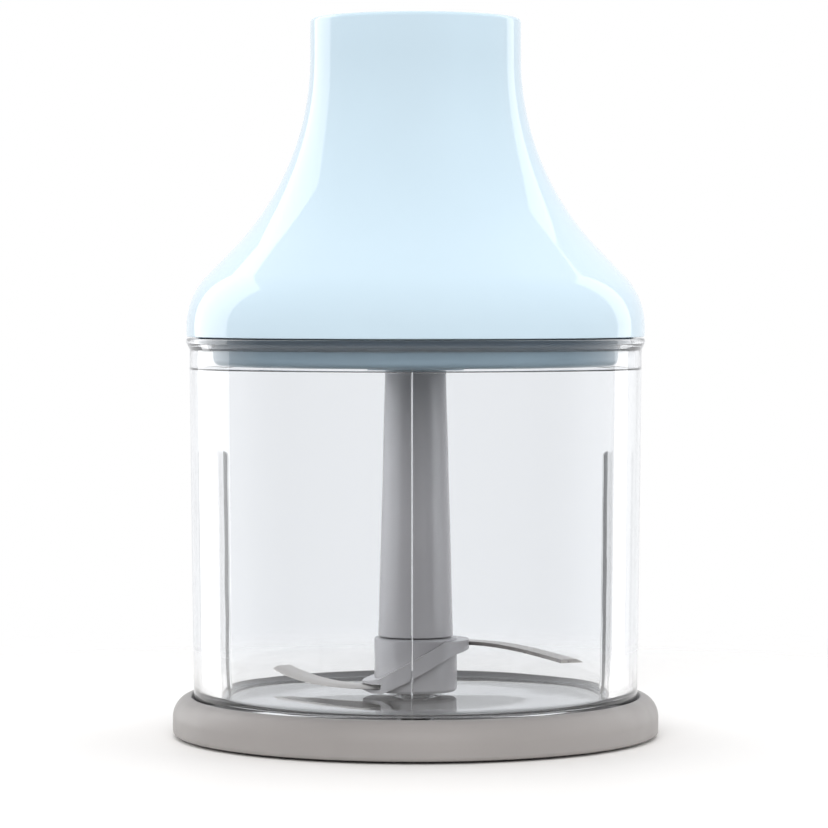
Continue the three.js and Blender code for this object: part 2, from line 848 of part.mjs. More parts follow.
function lid() {
  const cap = body(
    piece("lid_shell", lidShell(), FINISH.lidBlue),
    piece("neck_sleeve", neckSleeve(), FINISH.housing),
    piece("gearbox_cover", gearboxCover(), FINISH.plugGrey),
    piece("lid_seal", lidSeal(), FINISH.silicone),
    piece("shaft_seal", tube(OUTPUT_BUSH.inner, OUTPUT_BUSH.outer, SHAFT_SEAL.bottom, SHAFT_SEAL.top),
      FINISH.silicone),
    piece("output_bush", outputBush(), FINISH.bronze),
    piece("gear_housing", gearHousing(), FINISH.bossGrey),
    piece("ring_gear", ringGear(), FINISH.acetal),
    piece("input_bush_lower", tube(INPUT_BUSH.inner, INPUT_BUSH.outer, LOWER_BUSH.bottom, LOWER_BUSH.top),
      FINISH.bronze),
    piece("input_bush_upper", tube(INPUT_BUSH.inner, INPUT_BUSH.outer, UPPER_BUSH.bottom, UPPER_BUSH.top),
      FINISH.bronze),
  );
  postPlaces().forEach(([x, y], i) => {
    const screw = piece(`housing_screw_${i + 1}`, housingScrew(), FINISH.steel);
    screw.position.set(x, y, 0);
    cap.add(screw);
  });
  cap.add(inputDrive(), planetTrain());
  return cap;
}

function choppingBowl() {
  return body(
    piece("base_tray", baseTray(), FINISH.softGrey),
    piece("foot_ring", footRing(), FINISH.footRubber),
    piece("bowl", bowlWithRibs(), FINISH.clear),
    piece("pivot_pin", pivotPin(), FINISH.pinSteel),
    bladeUnit(),
    lid(),
  );
}

export default choppingBowl();
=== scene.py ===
"""Chopping bowl for a hand blender: lid, clear bowl, blade unit and base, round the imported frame."""

import math

import bmesh
import bpy
from mathutils import Matrix, Vector


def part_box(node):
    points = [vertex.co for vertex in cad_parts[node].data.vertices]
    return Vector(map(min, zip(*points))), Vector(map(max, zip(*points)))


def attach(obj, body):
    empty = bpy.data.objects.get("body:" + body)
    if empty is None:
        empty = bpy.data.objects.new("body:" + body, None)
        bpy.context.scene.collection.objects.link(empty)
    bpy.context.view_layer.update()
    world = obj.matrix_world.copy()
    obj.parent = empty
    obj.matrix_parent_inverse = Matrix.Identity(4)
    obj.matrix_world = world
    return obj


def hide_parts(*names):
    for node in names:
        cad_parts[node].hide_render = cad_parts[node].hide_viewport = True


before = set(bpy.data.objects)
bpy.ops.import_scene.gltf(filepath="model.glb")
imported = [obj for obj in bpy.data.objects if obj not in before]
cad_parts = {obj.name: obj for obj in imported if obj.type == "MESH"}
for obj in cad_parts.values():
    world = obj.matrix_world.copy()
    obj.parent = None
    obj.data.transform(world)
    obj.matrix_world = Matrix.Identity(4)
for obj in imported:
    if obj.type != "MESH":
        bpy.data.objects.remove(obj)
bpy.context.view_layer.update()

bl_info = {
    "name": "Chopping Bowl",
    "version": (1, 0, 0),
    "blender": (4, 5, 0),
    "location": "3D View > Sidebar > Chopping Bowl",
    "description": "Builds a hand blender's chopping bowl piece by piece round its packed frame",
    "category": "Object",
}

MM = 1000.0  # millimetres in a metre: meshes are drawn in millimetres and set down in metres
SIDES = 192  # facets round any other large piece
CASING_SIDES = 256  # facets round the bell, the base and the plug, whose edges are seen closely
FINE_SIDES = 96  # facets round a shaft or a screw
CREASE = math.radians(32)  # an edge that turns more than this stays sharp


# ------------------------------------------------------------------ measures and colours


def linear(code):
    """A '#rrggbb' sRGB colour as linear red, green, blue and alpha."""
    channels = [int(code[i : i + 2], 16) / 255 for i in (1, 3, 5)]
    return (*[c / 12.92 if c <= 0.04045 else ((c + 0.055) / 1.055) ** 2.4 for c in channels], 1.0)


def radius_of(node):
    """The outer radius of a round CAD node, in metres."""
    low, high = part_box(node)
    return max(high.x, high.y, -low.x, -low.y)


def heights(node):
    """The bottom and top of a CAD node, in millimetres."""
    low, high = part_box(node)
    return low.z * MM, high.z * MM


def length(name, default, description):
    """A size in metres, shown in the panel with its unit."""
    return bpy.props.FloatProperty(name=name, description=description, default=default, min=0, unit="LENGTH")


def colour(name, code, description):
    """A colour shown in the panel, from its sRGB hex code."""
    return bpy.props.FloatVectorProperty(
        name=name, description=description, default=linear(code), size=4, subtype="COLOR", min=0, max=1
    )


class LidSizes(bpy.types.PropertyGroup):
    """Sizes of the bell lid, its socket and its plug."""

    wall: length("Wall", 0.0024, "Thickness of the bell's wall")
    skirt_radius: length("Skirt radius", radius_of("lid_shell"), "Outer radius at the skirt")
    neck_radius: length("Neck radius", 0.02595, "Outer radius of the neck")
    neck_foot: length("Neck foot", 0.167, "Height where the straight neck starts to flare")
    neck_sweep: length("Neck sweep", 0.0674, "Radius of the hollow curve under the neck")
    shoulder_round: length("Shoulder round", 0.018, "Radius of the full curve over the skirt")
    shoulder_height: length("Shoulder height", 0.1009, "Height where the shoulder meets the skirt")
    plug_radius: length("Plug radius", 0.0499, "Radius of the plug that closes the bowl")


class BowlSizes(bpy.types.PropertyGroup):
    """Sizes of the clear bowl."""

    rim_radius: length("Rim radius", radius_of("bowl"), "Outer radius of the rim")
    outer_top: length("Outer radius, top", 0.0557, "Outer radius under the rim")
    outer_foot: length("Outer radius, foot", 0.0548, "Outer radius at the foot")
    inner_top: length("Inner radius, top", 0.0492, "Inner radius at the ledge that takes the plug")
    inner_foot: length("Inner radius, foot", 0.0482, "Inner radius at the floor")
    collar: length("Collar radius", 0.0541, "Inner radius of the collar round the plug")
    ledge: length("Ledge height", 0.0907, "Height of the ledge that takes the plug")
    rib_width: length("Rib width", 0.0019, "Width of a stirring rib")
    rib_top: length("Rib top", 0.07, "Height of a stirring rib's rounded end")
    parting: length("Parting line", 0.00006, "How far the mould's parting line stands out")


class BaseSizes(bpy.types.PropertyGroup):
    """Sizes of the soft base and its foot."""

    radius: length("Radius", radius_of("base_tray"), "Outer radius of the base")
    crest_radius: length("Crest radius", 0.05565, "Radius where the rounded rim is highest")
    wall_radius: length("Wall radius", 0.0553, "Inner radius of the rim round the bowl")
    ledge_radius: length("Ledge radius", 0.0494, "Inner radius of the ledge that carries the bowl")
    foot_inner: length("Foot inner radius", 0.0508, "Inner radius of the grip ring")


class BladeSizes(bpy.types.PropertyGroup):
    """Sizes of the blade unit."""

    stem_foot: length("Stem foot radius", 0.00926, "Radius of the stem over the collar")
    stem_top: length("Stem top radius", 0.00755, "Radius of the stem at its top")
    core: length("Core radius", 0.0062, "Radius of the stem inside the collar")
    collar: length("Collar radius", 0.01025, "Radius of the collar round the stem")
    thickness: length("Blade thickness", 0.0009, "Thickness of the blade")
    rise: length("Blade rise", 0.0051, "How far each wing stands over or under the middle")
    swept: length("Swept radius", 0.0462, "Radius of the circle that the tips sweep")


class Finishes(bpy.types.PropertyGroup):
    """Colours of the materials."""

    lid: colour("Lid", "#cce0ec", "Gloss ABS of the bell")
    plug: colour("Plug", "#a8becb", "Satin ABS of the plug")
    stem: colour("Stem", "#9c999a", "Moulded ABS of the stem and collar")
    base: colour("Base", "#928e8c", "Soft elastomer of the base")
    foot: colour("Foot", "#5f5c5a", "Rubber of the grip ring")
    seal: colour("Seals", "#74828e", "Silicone of the seals")
    housing: colour("Housing", "#7b7d80", "ABS of the socket and the gear case")
    acetal: colour("Gears", "#e9e6dc", "Acetal of the gears")
    nylon: colour("Drive head", "#77797c", "Glass-filled nylon of the drive head and the liner")
    steel: colour("Steel", "#b9b4b0", "Ground stainless steel")
    pin: colour("Turned steel", "#77736f", "Turned stainless steel of the pin and the input shaft")
    bronze: colour("Bushes", "#a9824e", "Sintered bronze")


class StageSizes(bpy.types.PropertyGroup):
    """Where the camera stands, and how bright the studio is."""

    distance: length("Camera distance", 0.9, "From the bowl's axis to the camera")
    aside: length("Aside", 0.0004, "How far the camera stands to the left of the axis")
    eye: length("Eye height", 0.1083, "Height of the camera over the floor")
    aim: length("Aim height", 0.0793, "Height on the axis that the camera looks at")
    lens: bpy.props.FloatProperty(
        name="Lens", description="Focal length on a 36 mm wide sensor", default=158.5, min=1, unit="CAMERA"
    )
    world: bpy.props.FloatProperty(
        name="Studio level", description="Brightness of the light that comes from all round",
        default=0.85, min=0,
    )
    floor_radius: length("Floor radius", 0.75, "Radius of the pale floor")


GROUPS = {
    "chopper_lid": LidSizes,
    "chopper_bowl": BowlSizes,
    "chopper_base": BaseSizes,
    "chopper_blade": BladeSizes,
    "chopper_finish": Finishes,
    "chopper_stage": StageSizes,
}


# ------------------------------------------------------------------ node trees


def add(tree, kind, inputs=None, **settings):
    """Adds a node with its settings; an input is given its value, or the output or outputs that
    feed it."""
    node = tree.nodes.new(kind)
    for name, value in settings.items():
        setattr(node, name, value)
    for socket, value in (inputs or {}).items():
        if isinstance(value, list):
            for output in value:
                tree.links.new(output, node.inputs[socket])
        elif isinstance(value, bpy.types.NodeSocket):
            tree.links.new(value, node.inputs[socket])
        else:
            node.inputs[socket].default_value = value
    return node


def shape_tree(name, inputs):
    """A new Geometry Nodes tree with named inputs and its input node, or the tree made before."""
    tree = bpy.data.node_groups.get(name)
    if tree:
        return tree, None
    tree = bpy.data.node_groups.new(name, "GeometryNodeTree")
    for title, kind in {**inputs, "Material": "Material"}.items():
        tree.interface.new_socket(title, in_out="INPUT", socket_type="NodeSocket" + kind)
    tree.interface.new_socket("Geometry", in_out="OUTPUT", socket_type="NodeSocketGeometry")
    return tree, add(tree, "NodeGroupInput").outputs


def ended(tree, geometry, given):
    """Ends a tree: everything made real, in the material that was given."""
    real = add(tree, "GeometryNodeRealizeInstances", {"Geometry": geometry})
    made = add(tree, "GeometryNodeSetMaterial", {
        "Geometry": real.outputs["Geometry"], "Material": given["Material"],
    })
    add(tree, "NodeGroupOutput", {"Geometry": made.outputs["Geometry"]})
    return tree


def turning_tree():
    """A tree that turns a profile about Z. The profile's X is its distance from the axis less one
    unit, because the path that carries it is a circle of radius one."""
    tree, given = shape_tree("Turned piece", {"Profile": "Object", "Sides": "Int"})
    if given is None:
        return tree
    profile = add(tree, "GeometryNodeObjectInfo", {"Object": given["Profile"]})
    line = add(tree, "GeometryNodeMeshToCurve", {"Mesh": profile.outputs["Geometry"]})
    path = add(tree, "GeometryNodeCurvePrimitiveCircle", {"Resolution": given["Sides"], "Radius": 1.0})
    swept = add(tree, "GeometryNodeCurveToMesh", {
        "Curve": path.outputs["Curve"], "Profile Curve": line.outputs["Curve"],
    })
    poles = add(tree, "GeometryNodeMergeByDistance", {"Geometry": swept.outputs["Mesh"], "Distance": 1e-4})
    return ended(tree, poles.outputs["Geometry"], given)


def gear_tree():
    """A tree that repeats one tooth's outline round Z, fills between it and a plain rim, and
    raises that to a thickness. A rim inside the teeth makes a wheel, one outside makes a ring."""
    tree, given = shape_tree("Toothed wheel", {
        "Tooth": "Object", "Teeth": "Int", "Rim": "Float", "Sides": "Int", "Bottom": "Float",
        "Thickness": "Float",
    })
    if given is None:
        return tree
    tooth = add(tree, "GeometryNodeObjectInfo", {"Object": given["Tooth"]})
    spots = add(tree, "GeometryNodePoints", {"Count": given["Teeth"], "Position": (0, 0, 0)})
    pitch = add(tree, "ShaderNodeMath", {0: math.tau, 1: given["Teeth"]}, operation="DIVIDE")
    number = add(tree, "GeometryNodeInputIndex")
    turn = add(tree, "ShaderNodeMath", {0: number.outputs[0], 1: pitch.outputs[0]}, operation="MULTIPLY")
    about = add(tree, "ShaderNodeCombineXYZ", {"Z": turn.outputs[0]})
    teeth = add(tree, "GeometryNodeInstanceOnPoints", {
        "Points": spots.outputs[0], "Instance": tooth.outputs["Geometry"], "Rotation": about.outputs[0],
    })
    real = add(tree, "GeometryNodeRealizeInstances", {"Geometry": teeth.outputs[0]})
    ring = add(tree, "GeometryNodeMergeByDistance", {"Geometry": real.outputs[0], "Distance": 1e-3})
    outline = add(tree, "GeometryNodeMeshToCurve", {"Mesh": ring.outputs[0]})
    rim = add(tree, "GeometryNodeCurvePrimitiveCircle", {
        "Resolution": given["Sides"], "Radius": given["Rim"],
    })
    lines = add(tree, "GeometryNodeJoinGeometry", {0: [outline.outputs[0], rim.outputs[0]]})
    sheet = add(tree, "GeometryNodeFillCurve", {"Curve": lines.outputs[0]})
    up = add(tree, "ShaderNodeCombineXYZ", {"Z": given["Thickness"]})
    raised = add(tree, "GeometryNodeExtrudeMesh", {
        "Mesh": sheet.outputs[0], "Offset": up.outputs[0], "Individual": False,
    })
    under = add(tree, "GeometryNodeFlipFaces", {"Mesh": sheet.outputs[0]})
    sides = add(tree, "GeometryNodeJoinGeometry", {0: [raised.outputs["Mesh"], under.outputs[0]]})
    closed = add(tree, "GeometryNodeMergeByDistance", {"Geometry": sides.outputs[0], "Distance": 1e-4})
    height = add(tree, "ShaderNodeCombineXYZ", {"Z": given["Bottom"]})
    stood = add(tree, "GeometryNodeSetPosition", {"Geometry": closed.outputs[0], "Offset": height.outputs[0]})
    return ended(tree, stood.outputs[0], given)


def repeating_tree():
    """A tree that sets a piece down on every point of another mesh."""
    tree, given = shape_tree("Repeated piece", {"Piece": "Object", "Places": "Object"})
    if given is None:
        return tree
    piece = add(tree, "GeometryNodeObjectInfo", {"Object": given["Piece"]})
    places = add(tree, "GeometryNodeObjectInfo", {"Object": given["Places"]})
    copies = add(tree, "GeometryNodeInstanceOnPoints", {
        "Points": places.outputs["Geometry"], "Instance": piece.outputs["Geometry"],
    })
    return ended(tree, copies.outputs[0], given)


def grown(name, tree, **inputs):
    """The plain mesh that a Geometry Nodes tree makes from its named inputs."""
    host = bpy.data.objects.new(name + "_host", bpy.data.meshes.new(name + "_host"))
    bpy.context.scene.collection.objects.link(host)
    modifier = host.modifiers.new("Shape", "NODES")
    modifier.node_group = tree
    for item in tree.interface.items_tree:
        if item.in_out == "INPUT":
            modifier[item.identifier] = inputs[item.name]
    graph = bpy.context.evaluated_depsgraph_get()
    mesh = bpy.data.meshes.new_from_object(host.evaluated_get(graph), depsgraph=graph)
    host.modifiers.remove(modifier)
    bpy.data.objects.remove(host)
    return mesh


# ------------------------------------------------------------------ mesh helpers


def arc(x, z, radius, start, stop, steps):
    """Points on an arc about (x, z), from one angle in degrees to another."""
    turns = [math.radians(start + (stop - start) * i / steps) for i in range(steps + 1)]
    return [(x + radius * math.cos(t), z + radius * math.sin(t)) for t in turns]


def eased(corners, closed=True, steps=4):
    """A line through corners (x, z) or (x, z, round): a corner with a round turns on that radius."""
    points = []
    count = len(corners)
    for i, corner in enumerate(corners):
        here = Vector(corner[:2])
        ends = not closed and i in (0, count - 1)
        if len(corner) < 3 or ends:
            points.append(tuple(here))
            continue
        before = Vector(corners[i - 1][:2]) - here
        after = Vector(corners[(i + 1) % count][:2]) - here
        half = before.angle(after) / 2
        reach = min(corner[2] / math.tan(half), 0.49 * before.length, 0.49 * after.length)
        first, last = here + before.normalized() * reach, here + after.normalized() * reach
        for k in range(steps + 1):
            t = k / steps
            points.append(tuple(first * (1 - t) ** 2 + here * 2 * t * (1 - t) + last * t * t))
    return points


def inside_bowl():
    """The set of pieces that the strip lights shine on."""
    return bpy.data.collections.get("inside_bowl") or bpy.data.collections.new("inside_bowl")


def loose(name, mesh):
    """A scratch object that holds a mesh."""
    scratch = bpy.data.objects.new(name, mesh)
    bpy.context.scene.collection.objects.link(scratch)
    return scratch


def tidied(mesh):
    """Merges doubles and turns every face outwards."""
    shape = bmesh.new()
    shape.from_mesh(mesh)
    bmesh.ops.remove_doubles(shape, verts=shape.verts, dist=1e-4)
    bmesh.ops.dissolve_degenerate(shape, edges=shape.edges, dist=1e-5)
    bmesh.ops.recalc_face_normals(shape, faces=shape.faces)
    shape.to_mesh(mesh)
    shape.free()
    return mesh


def turned(name, profile, slot=None, sides=SIDES, closed=True):
    """A profile of (radius, height) points turned about Z, closed as a ring or from axis to axis, its
    corners eased where they have a round. A cutting tool has no slot, and so no material."""
    if any(len(corner) > 2 for corner in profile):
        profile = eased(profile, closed)
    line = bpy.data.meshes.new(name + "_profile")
    count = len(profile)
    edges = [(i, (i + 1) % count) for i in range(count if closed else count - 1)]
    line.from_pydata([(r - 1, -z, 0) for r, z in profile], edges, [])
    scratch = loose(name + "_profile", line)
    mesh = grown(name, turning_tree(), Profile=scratch, Sides=sides, Material=slot and finish(slot))
    bpy.data.objects.remove(scratch)
    return tidied(mesh)


def rod(name, radius, low, high, sides=FINE_SIDES):
    """A plain round bar on the axis."""
    return turned(name, [(0, low), (radius, low), (radius, high), (0, high)], sides=sides, closed=False)


def repeated(name, mesh, places, slot):
    """Copies of a mesh, one at each (x, y) place."""
    spots = bpy.data.meshes.new(name + "_places")
    spots.from_pydata([(x, y, 0) for x, y in places], [], [])
    held = [loose(name + "_piece", mesh), loose(name + "_places", spots)]
    copies = grown(name, repeating_tree(), Piece=held[0], Places=held[1], Material=finish(slot))
    for scratch in held:
        bpy.data.objects.remove(scratch)
    return copies


def skinned(name, rings, capped=True):
    """A skin from each ring of points to the next: capped at both ends, or else closed by a skin
    from the last ring to the first."""
    shape = bmesh.new()
    rings = [[shape.verts.new(point) for point in ring] for ring in rings]
    if capped:
        shape.faces.new(rings[0])
        shape.faces.new(rings[-1])
    else:
        rings.append(rings[0])
    for near, far in zip(rings, rings[1:]):
        for i in range(len(near)):
            k = (i + 1) % len(near)
            shape.faces.new((near[i], near[k], far[k], far[i]))
    mesh = bpy.data.meshes.new(name)
    shape.to_mesh(mesh)
    shape.free()
    return tidied(mesh)


def prism(name, outline, bottom, top):
    """An outline in the XY plane raised between two heights."""
    return skinned(name, [[(x, y, z) for x, y in outline] for z in (bottom, top)])


def block(name, x, y, z):
    """A block between two values of x, y and z."""
    return prism(name, [(x[0], y[0]), (x[1], y[0]), (x[1], y[1]), (x[0], y[1])], *z)


def hexagon(flats):
    """Corners of a hexagon, in millimetres across flats."""
    return arc(0, 0, flats / math.sqrt(3), 0, 300, 5)


def combined(mesh, operation, others):
    """A mesh with others joined to it, cut from it, or kept only where it meets them."""
    body = loose(mesh.name + "_body", mesh)
    tools = [loose(mesh.name + "_tool", other) for other in others]
    for tool in tools:
        modifier = body.modifiers.new("Join", "BOOLEAN")
        modifier.operation = operation
        modifier.solver = "MANIFOLD"
        modifier.object = tool
    graph = bpy.context.evaluated_depsgraph_get()
    result = bpy.data.meshes.new_from_object(body.evaluated_get(graph), depsgraph=graph)
    for scratch in [body, *tools]:
        bpy.data.objects.remove(scratch)
    return tidied(result)


def place(name, mesh, body, slot, nodes, crease=CREASE):
    """Sets a mesh drawn in millimetres down in metres as a finished piece that rides on a body, in
    its slot's material and in place of the CAD nodes."""
    mesh.transform(Matrix.Scale(1 / MM, 4))
    mesh.name = name
    mesh.materials.clear()
    mesh.materials.append(finish(slot))
    for face in mesh.polygons:
        face.material_index = 0
    mesh.shade_smooth()
    mesh.set_sharp_from_angle(angle=crease)
    piece = loose(name, mesh)
    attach(piece, body)
    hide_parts(*nodes)
    if body == "blade":
        inside_bowl().objects.link(piece)
    return piece


# ------------------------------------------------------------------ materials


MOST = {"From Min": 0.3, "From Max": 0.7}  # most of a noise lies between these

def new_material(name):
    """An empty material and its node tree."""
    material = bpy.data.materials.get(name)
    if material:
        return material, None
    material = bpy.data.materials.new(name)
    material.use_nodes = True
    material.node_tree.nodes.clear()
    return material, material.node_tree


def coated(tree, tint, noises, shade, roughness, spread, depth, **shader):
    """Ends an opaque material. Its colour is scaled between the two values of `shade`, its gloss
    varies by `spread`, and its relief stands `depth` millimetres high, each along its own noise."""
    flow, wear, grain = [noise.outputs["Fac"] for noise in noises]
    low, high = roughness - spread, roughness + spread
    tone = add(tree, "ShaderNodeMapRange", {"Value": flow, **MOST, "To Min": shade[0], "To Max": shade[1]})
    gloss = add(tree, "ShaderNodeMapRange", {"Value": wear, **MOST, "To Min": low, "To Max": high})
    relief = add(tree, "ShaderNodeBump", {"Height": grain, "Distance": depth / MM, "Strength": 1.0})
    base = add(
        tree, "ShaderNodeVectorMath", {0: tint[:3], "Scale": tone.outputs["Result"]}, operation="SCALE"
    )
    inputs = {
        "Base Color": base.outputs["Vector"],
        "Roughness": gloss.outputs["Result"],
        "Normal": relief.outputs["Normal"],
    }
    surface = add(tree, "ShaderNodeBsdfPrincipled", {**inputs, **shader})
    add(tree, "ShaderNodeOutputMaterial", {"Surface": surface.outputs["BSDF"]})


def moulded(name, tint, roughness, grain, depth, cloud, spread, **shader):
    """A moulded skin. Its colour clouds faintly over 30 mm as the melt flowed, its gloss varies by
    `spread` over 6 mm, and its grain, in millimetres, stands `depth` millimetres high."""
    material, tree = new_material(name)
    if tree is None:
        return material
    spot = add(tree, "ShaderNodeTexCoord").outputs["Object"]
    noises = [
        add(tree, "ShaderNodeTexNoise", {"Vector": spot, "Scale": MM / size, "Detail": detail})
        for size, detail in ((30, 3.0), (6, 4.0), (grain, 2.0))
    ]
    coated(tree, tint, noises, (1 - cloud, 1 + cloud), roughness, spread, depth, **shader)
    return material


def machined(name, tint, roughness, spacing, stretch, spread=0.08, depth=0.004):
    """A metal with tool marks `spacing` millimetres apart. `stretch` scales the pattern along X, Y
    and Z: a small value draws the marks out along that axis."""
    material, tree = new_material(name)
    if tree is None:
        return material
    spot = add(tree, "ShaderNodeTexCoord").outputs["Object"]
    along = add(tree, "ShaderNodeMapping", {"Vector": spot, "Scale": stretch}).outputs["Vector"]
    marks = add(tree, "ShaderNodeTexNoise", {"Vector": along, "Scale": MM / spacing, "Detail": 3.0})
    coated(tree, tint, [marks] * 3, (0.97, 1.02), roughness, spread, depth, Metallic=1.0)
    return material


def within(tree, *ranges):
    """One where every value lies within reach of its centre, given as (value, centre, reach)."""
    total = None
    for value, centre, reach in ranges:
        part = add(tree, "ShaderNodeMath", {0: value, 1: centre, 2: reach}, operation="COMPARE").outputs[0]
        if total:
            part = add(tree, "ShaderNodeMath", {0: total, 1: part}, operation="MULTIPLY").outputs[0]
        total = part
    return total


def clear_copolyester():
    """Clear copolyester, moulded and polished: it bends what stands behind it, and its thick wall
    shows a light band at either side. Lamps shine through it, so the blade unit is lit."""
    material, tree = new_material("clear_copolyester_moulded")
    if tree is None:
        return material
    spot = add(tree, "ShaderNodeTexCoord").outputs["Object"]
    # A moulded wall is never quite flat: slow ripples about 14 mm long bend the reflections a little.
    ripple = add(tree, "ShaderNodeTexNoise", {"Vector": spot, "Scale": MM / 14, "Detail": 1.0})
    relief = add(tree, "ShaderNodeBump", {
        "Height": ripple.outputs["Fac"], "Distance": 0.02 / MM, "Strength": 1.0,
    })
    wipe = add(tree, "ShaderNodeTexNoise", {"Vector": spot, "Scale": MM / 8, "Detail": 4.0})
    gloss = add(tree, "ShaderNodeMapRange", {
        "Value": wipe.outputs["Fac"], "From Min": 0.35, "From Max": 0.75, "To Min": 0.0, "To Max": 0.03,
    })
    # Painted shade: the glass is coloured near black at the corners of each rib and round the bore about the
    # pin, standing in for the dark lines that light bent away from the eye would draw there.
    x, y, z = add(tree, "ShaderNodeSeparateXYZ", {"Vector": spot}).outputs
    out = add(tree, "ShaderNodeMath", {0: x}, operation="ABSOLUTE").outputs[0]
    ribs = within(tree, (out, 0.0481, 0.0005), (y, 0.0, 0.0013), (z, 0.035, 0.0353))
    bore = within(tree, (x, 0.0, 0.0036), (y, 0.0, 0.0036), (z, 0.009, 0.0025))
    painted_shade = add(tree, "ShaderNodeMath", {0: ribs, 1: bore}, operation="MAXIMUM").outputs[0]
    # Painted shade: near black is mixed into the glass's colour wherever a rib's corner or the bore is
    # masked.
    tint = add(tree, "ShaderNodeMix", {0: painted_shade, 6: linear("#fbfcfd"), 7: linear("#1d1f21")}, data_type="RGBA")
    glass = add(tree, "ShaderNodeBsdfPrincipled", {
        "Base Color": tint.outputs[2], "Transmission Weight": 1.0, "IOR": 1.57,
        "Roughness": gloss.outputs["Result"], "Normal": relief.outputs["Normal"],
    })
    lamps = add(tree, "ShaderNodeBsdfTransparent", {"Color": linear("#f4f6f8")})
    light_path = add(tree, "ShaderNodeLightPath")
    mixed = add(tree, "ShaderNodeMixShader", {
        0: light_path.outputs["Is Shadow Ray"], 1: glass.outputs["BSDF"], 2: lamps.outputs["BSDF"],
    })
    add(tree, "ShaderNodeOutputMaterial", {"Surface": mixed.outputs["Shader"]})
    return material


MOULDED = {
    # Polished mould, so a deep even gloss; the faint orange peel is about 3 mm from crest to crest.
    "lid_abs": dict(
        name="gloss_abs_moulded", tint="lid", roughness=0.06, grain=3.0, depth=0.0008, cloud=0.01,
        spread=0.012, IOR=1.54,
    ),
    # A lightly blasted mould gives a satin skin that blurs reflections.
    "plug_abs": dict(
        name="satin_abs_moulded", tint="plug", roughness=0.34, grain=0.9, depth=0.004, cloud=0.04,
        spread=0.05, IOR=1.54,
    ),
    # Semi-gloss, with long soft reflections down the stem. The blasted grain is really 0.1 mm, and
    # is drawn at 0.8 mm so that it shows.
    "stem_abs": dict(
        name="semi_gloss_abs_moulded", tint="stem", roughness=0.2, grain=0.8, depth=0.0012, cloud=0.015,
        spread=0.02, IOR=1.54,
    ),
    # Soft elastomer from a blasted mould: a dry, powdery skin that scatters light. The grain is
    # really under 0.1 mm, and is drawn at 0.7 mm so that it shows.
    "soft_base": dict(
        name="soft_elastomer_moulded", tint="base", roughness=0.43, grain=0.7, depth=0.012, cloud=0.04,
        spread=0.05, IOR=1.48,
    ),
    # Compression-moulded rubber: dark, dull and slightly pitted.
    "foot_rubber": dict(
        name="rubber_pressed", tint="foot", roughness=0.8, grain=0.8, depth=0.02, cloud=0.06,
        spread=0.06, IOR=1.52,
    ),
    # Moulded silicone: dark, with a waxy half-gloss.
    "silicone": dict(
        name="silicone_moulded", tint="seal", roughness=0.42, grain=1.2, depth=0.006, cloud=0.05,
        spread=0.05, IOR=1.42,
    ),
    # Unpolished inner parts: matt, with a coarse spark-eroded grain drawn at 0.9 mm.
    "housing_abs": dict(
        name="matt_abs_moulded", tint="housing", roughness=0.52, grain=0.9, depth=0.012, cloud=0.04,
        spread=0.06, IOR=1.54,
    ),
    # Glass-filled nylon: the fibres leave pale flecks about 1 mm long in the skin.
    "coupling_nylon": dict(
        name="glass_filled_nylon_moulded", tint="nylon", roughness=0.48, grain=1.0, depth=0.01,
        cloud=0.12, spread=0.08, IOR=1.53,
    ),
    # Moulded acetal: milky and slippery, so light goes a little way in.
    "acetal": dict(
        name="acetal_moulded", tint="acetal", roughness=0.36, grain=1.5, depth=0.004, cloud=0.02,
        spread=0.04, IOR=1.48,
        **{"Subsurface Weight": 0.15, "Subsurface Radius": (0.001, 0.001, 0.0008), "Subsurface Scale": 1.0},
    ),
}

MACHINED = {
    # Sheet ground across the blade: fine scratches, really 0.05 mm apart and drawn at 0.5 mm.
    "blade_steel": dict(
        name="stainless_sheet_ground", tint="steel", roughness=0.3, spacing=0.5, stretch=(0.9, 0.12, 1.0),
        spread=0.03, depth=0.0006,
    ),
    # Turned bar: rings one above the other, 0.1 mm apart and drawn at 0.6 mm.
    "turned_steel": dict(
        name="stainless_bar_turned", tint="pin", roughness=0.24, spacing=0.6, stretch=(0.06, 0.06, 1.0)
    ),
    # Cold-formed and zinc-plated: bright, with a faint crystalline mottle.
    "screw_steel": dict(
        name="zinc_plated_steel_formed", tint="steel", roughness=0.3, spacing=0.7, stretch=(1.0, 1.0, 1.0)
    ),
    # Pressed powder, soaked in oil: a dull gold with tiny pores drawn at 0.5 mm.
    "bronze": dict(
        name="bronze_sintered", tint="bronze", roughness=0.46, spacing=0.5, stretch=(1.0, 1.0, 1.0),
        spread=0.1, depth=0.02,
    ),
}


def finish(slot):
    """The material of a record slot, made once."""
    if slot == "clear_copolyester":
        return clear_copolyester()
    make, looks = (moulded, MOULDED[slot]) if slot in MOULDED else (machined, MACHINED[slot])
    tint = getattr(bpy.context.scene.chopper_finish, looks["tint"])
    return make(**{**looks, "tint": tint})


# ------------------------------------------------------------------ operators


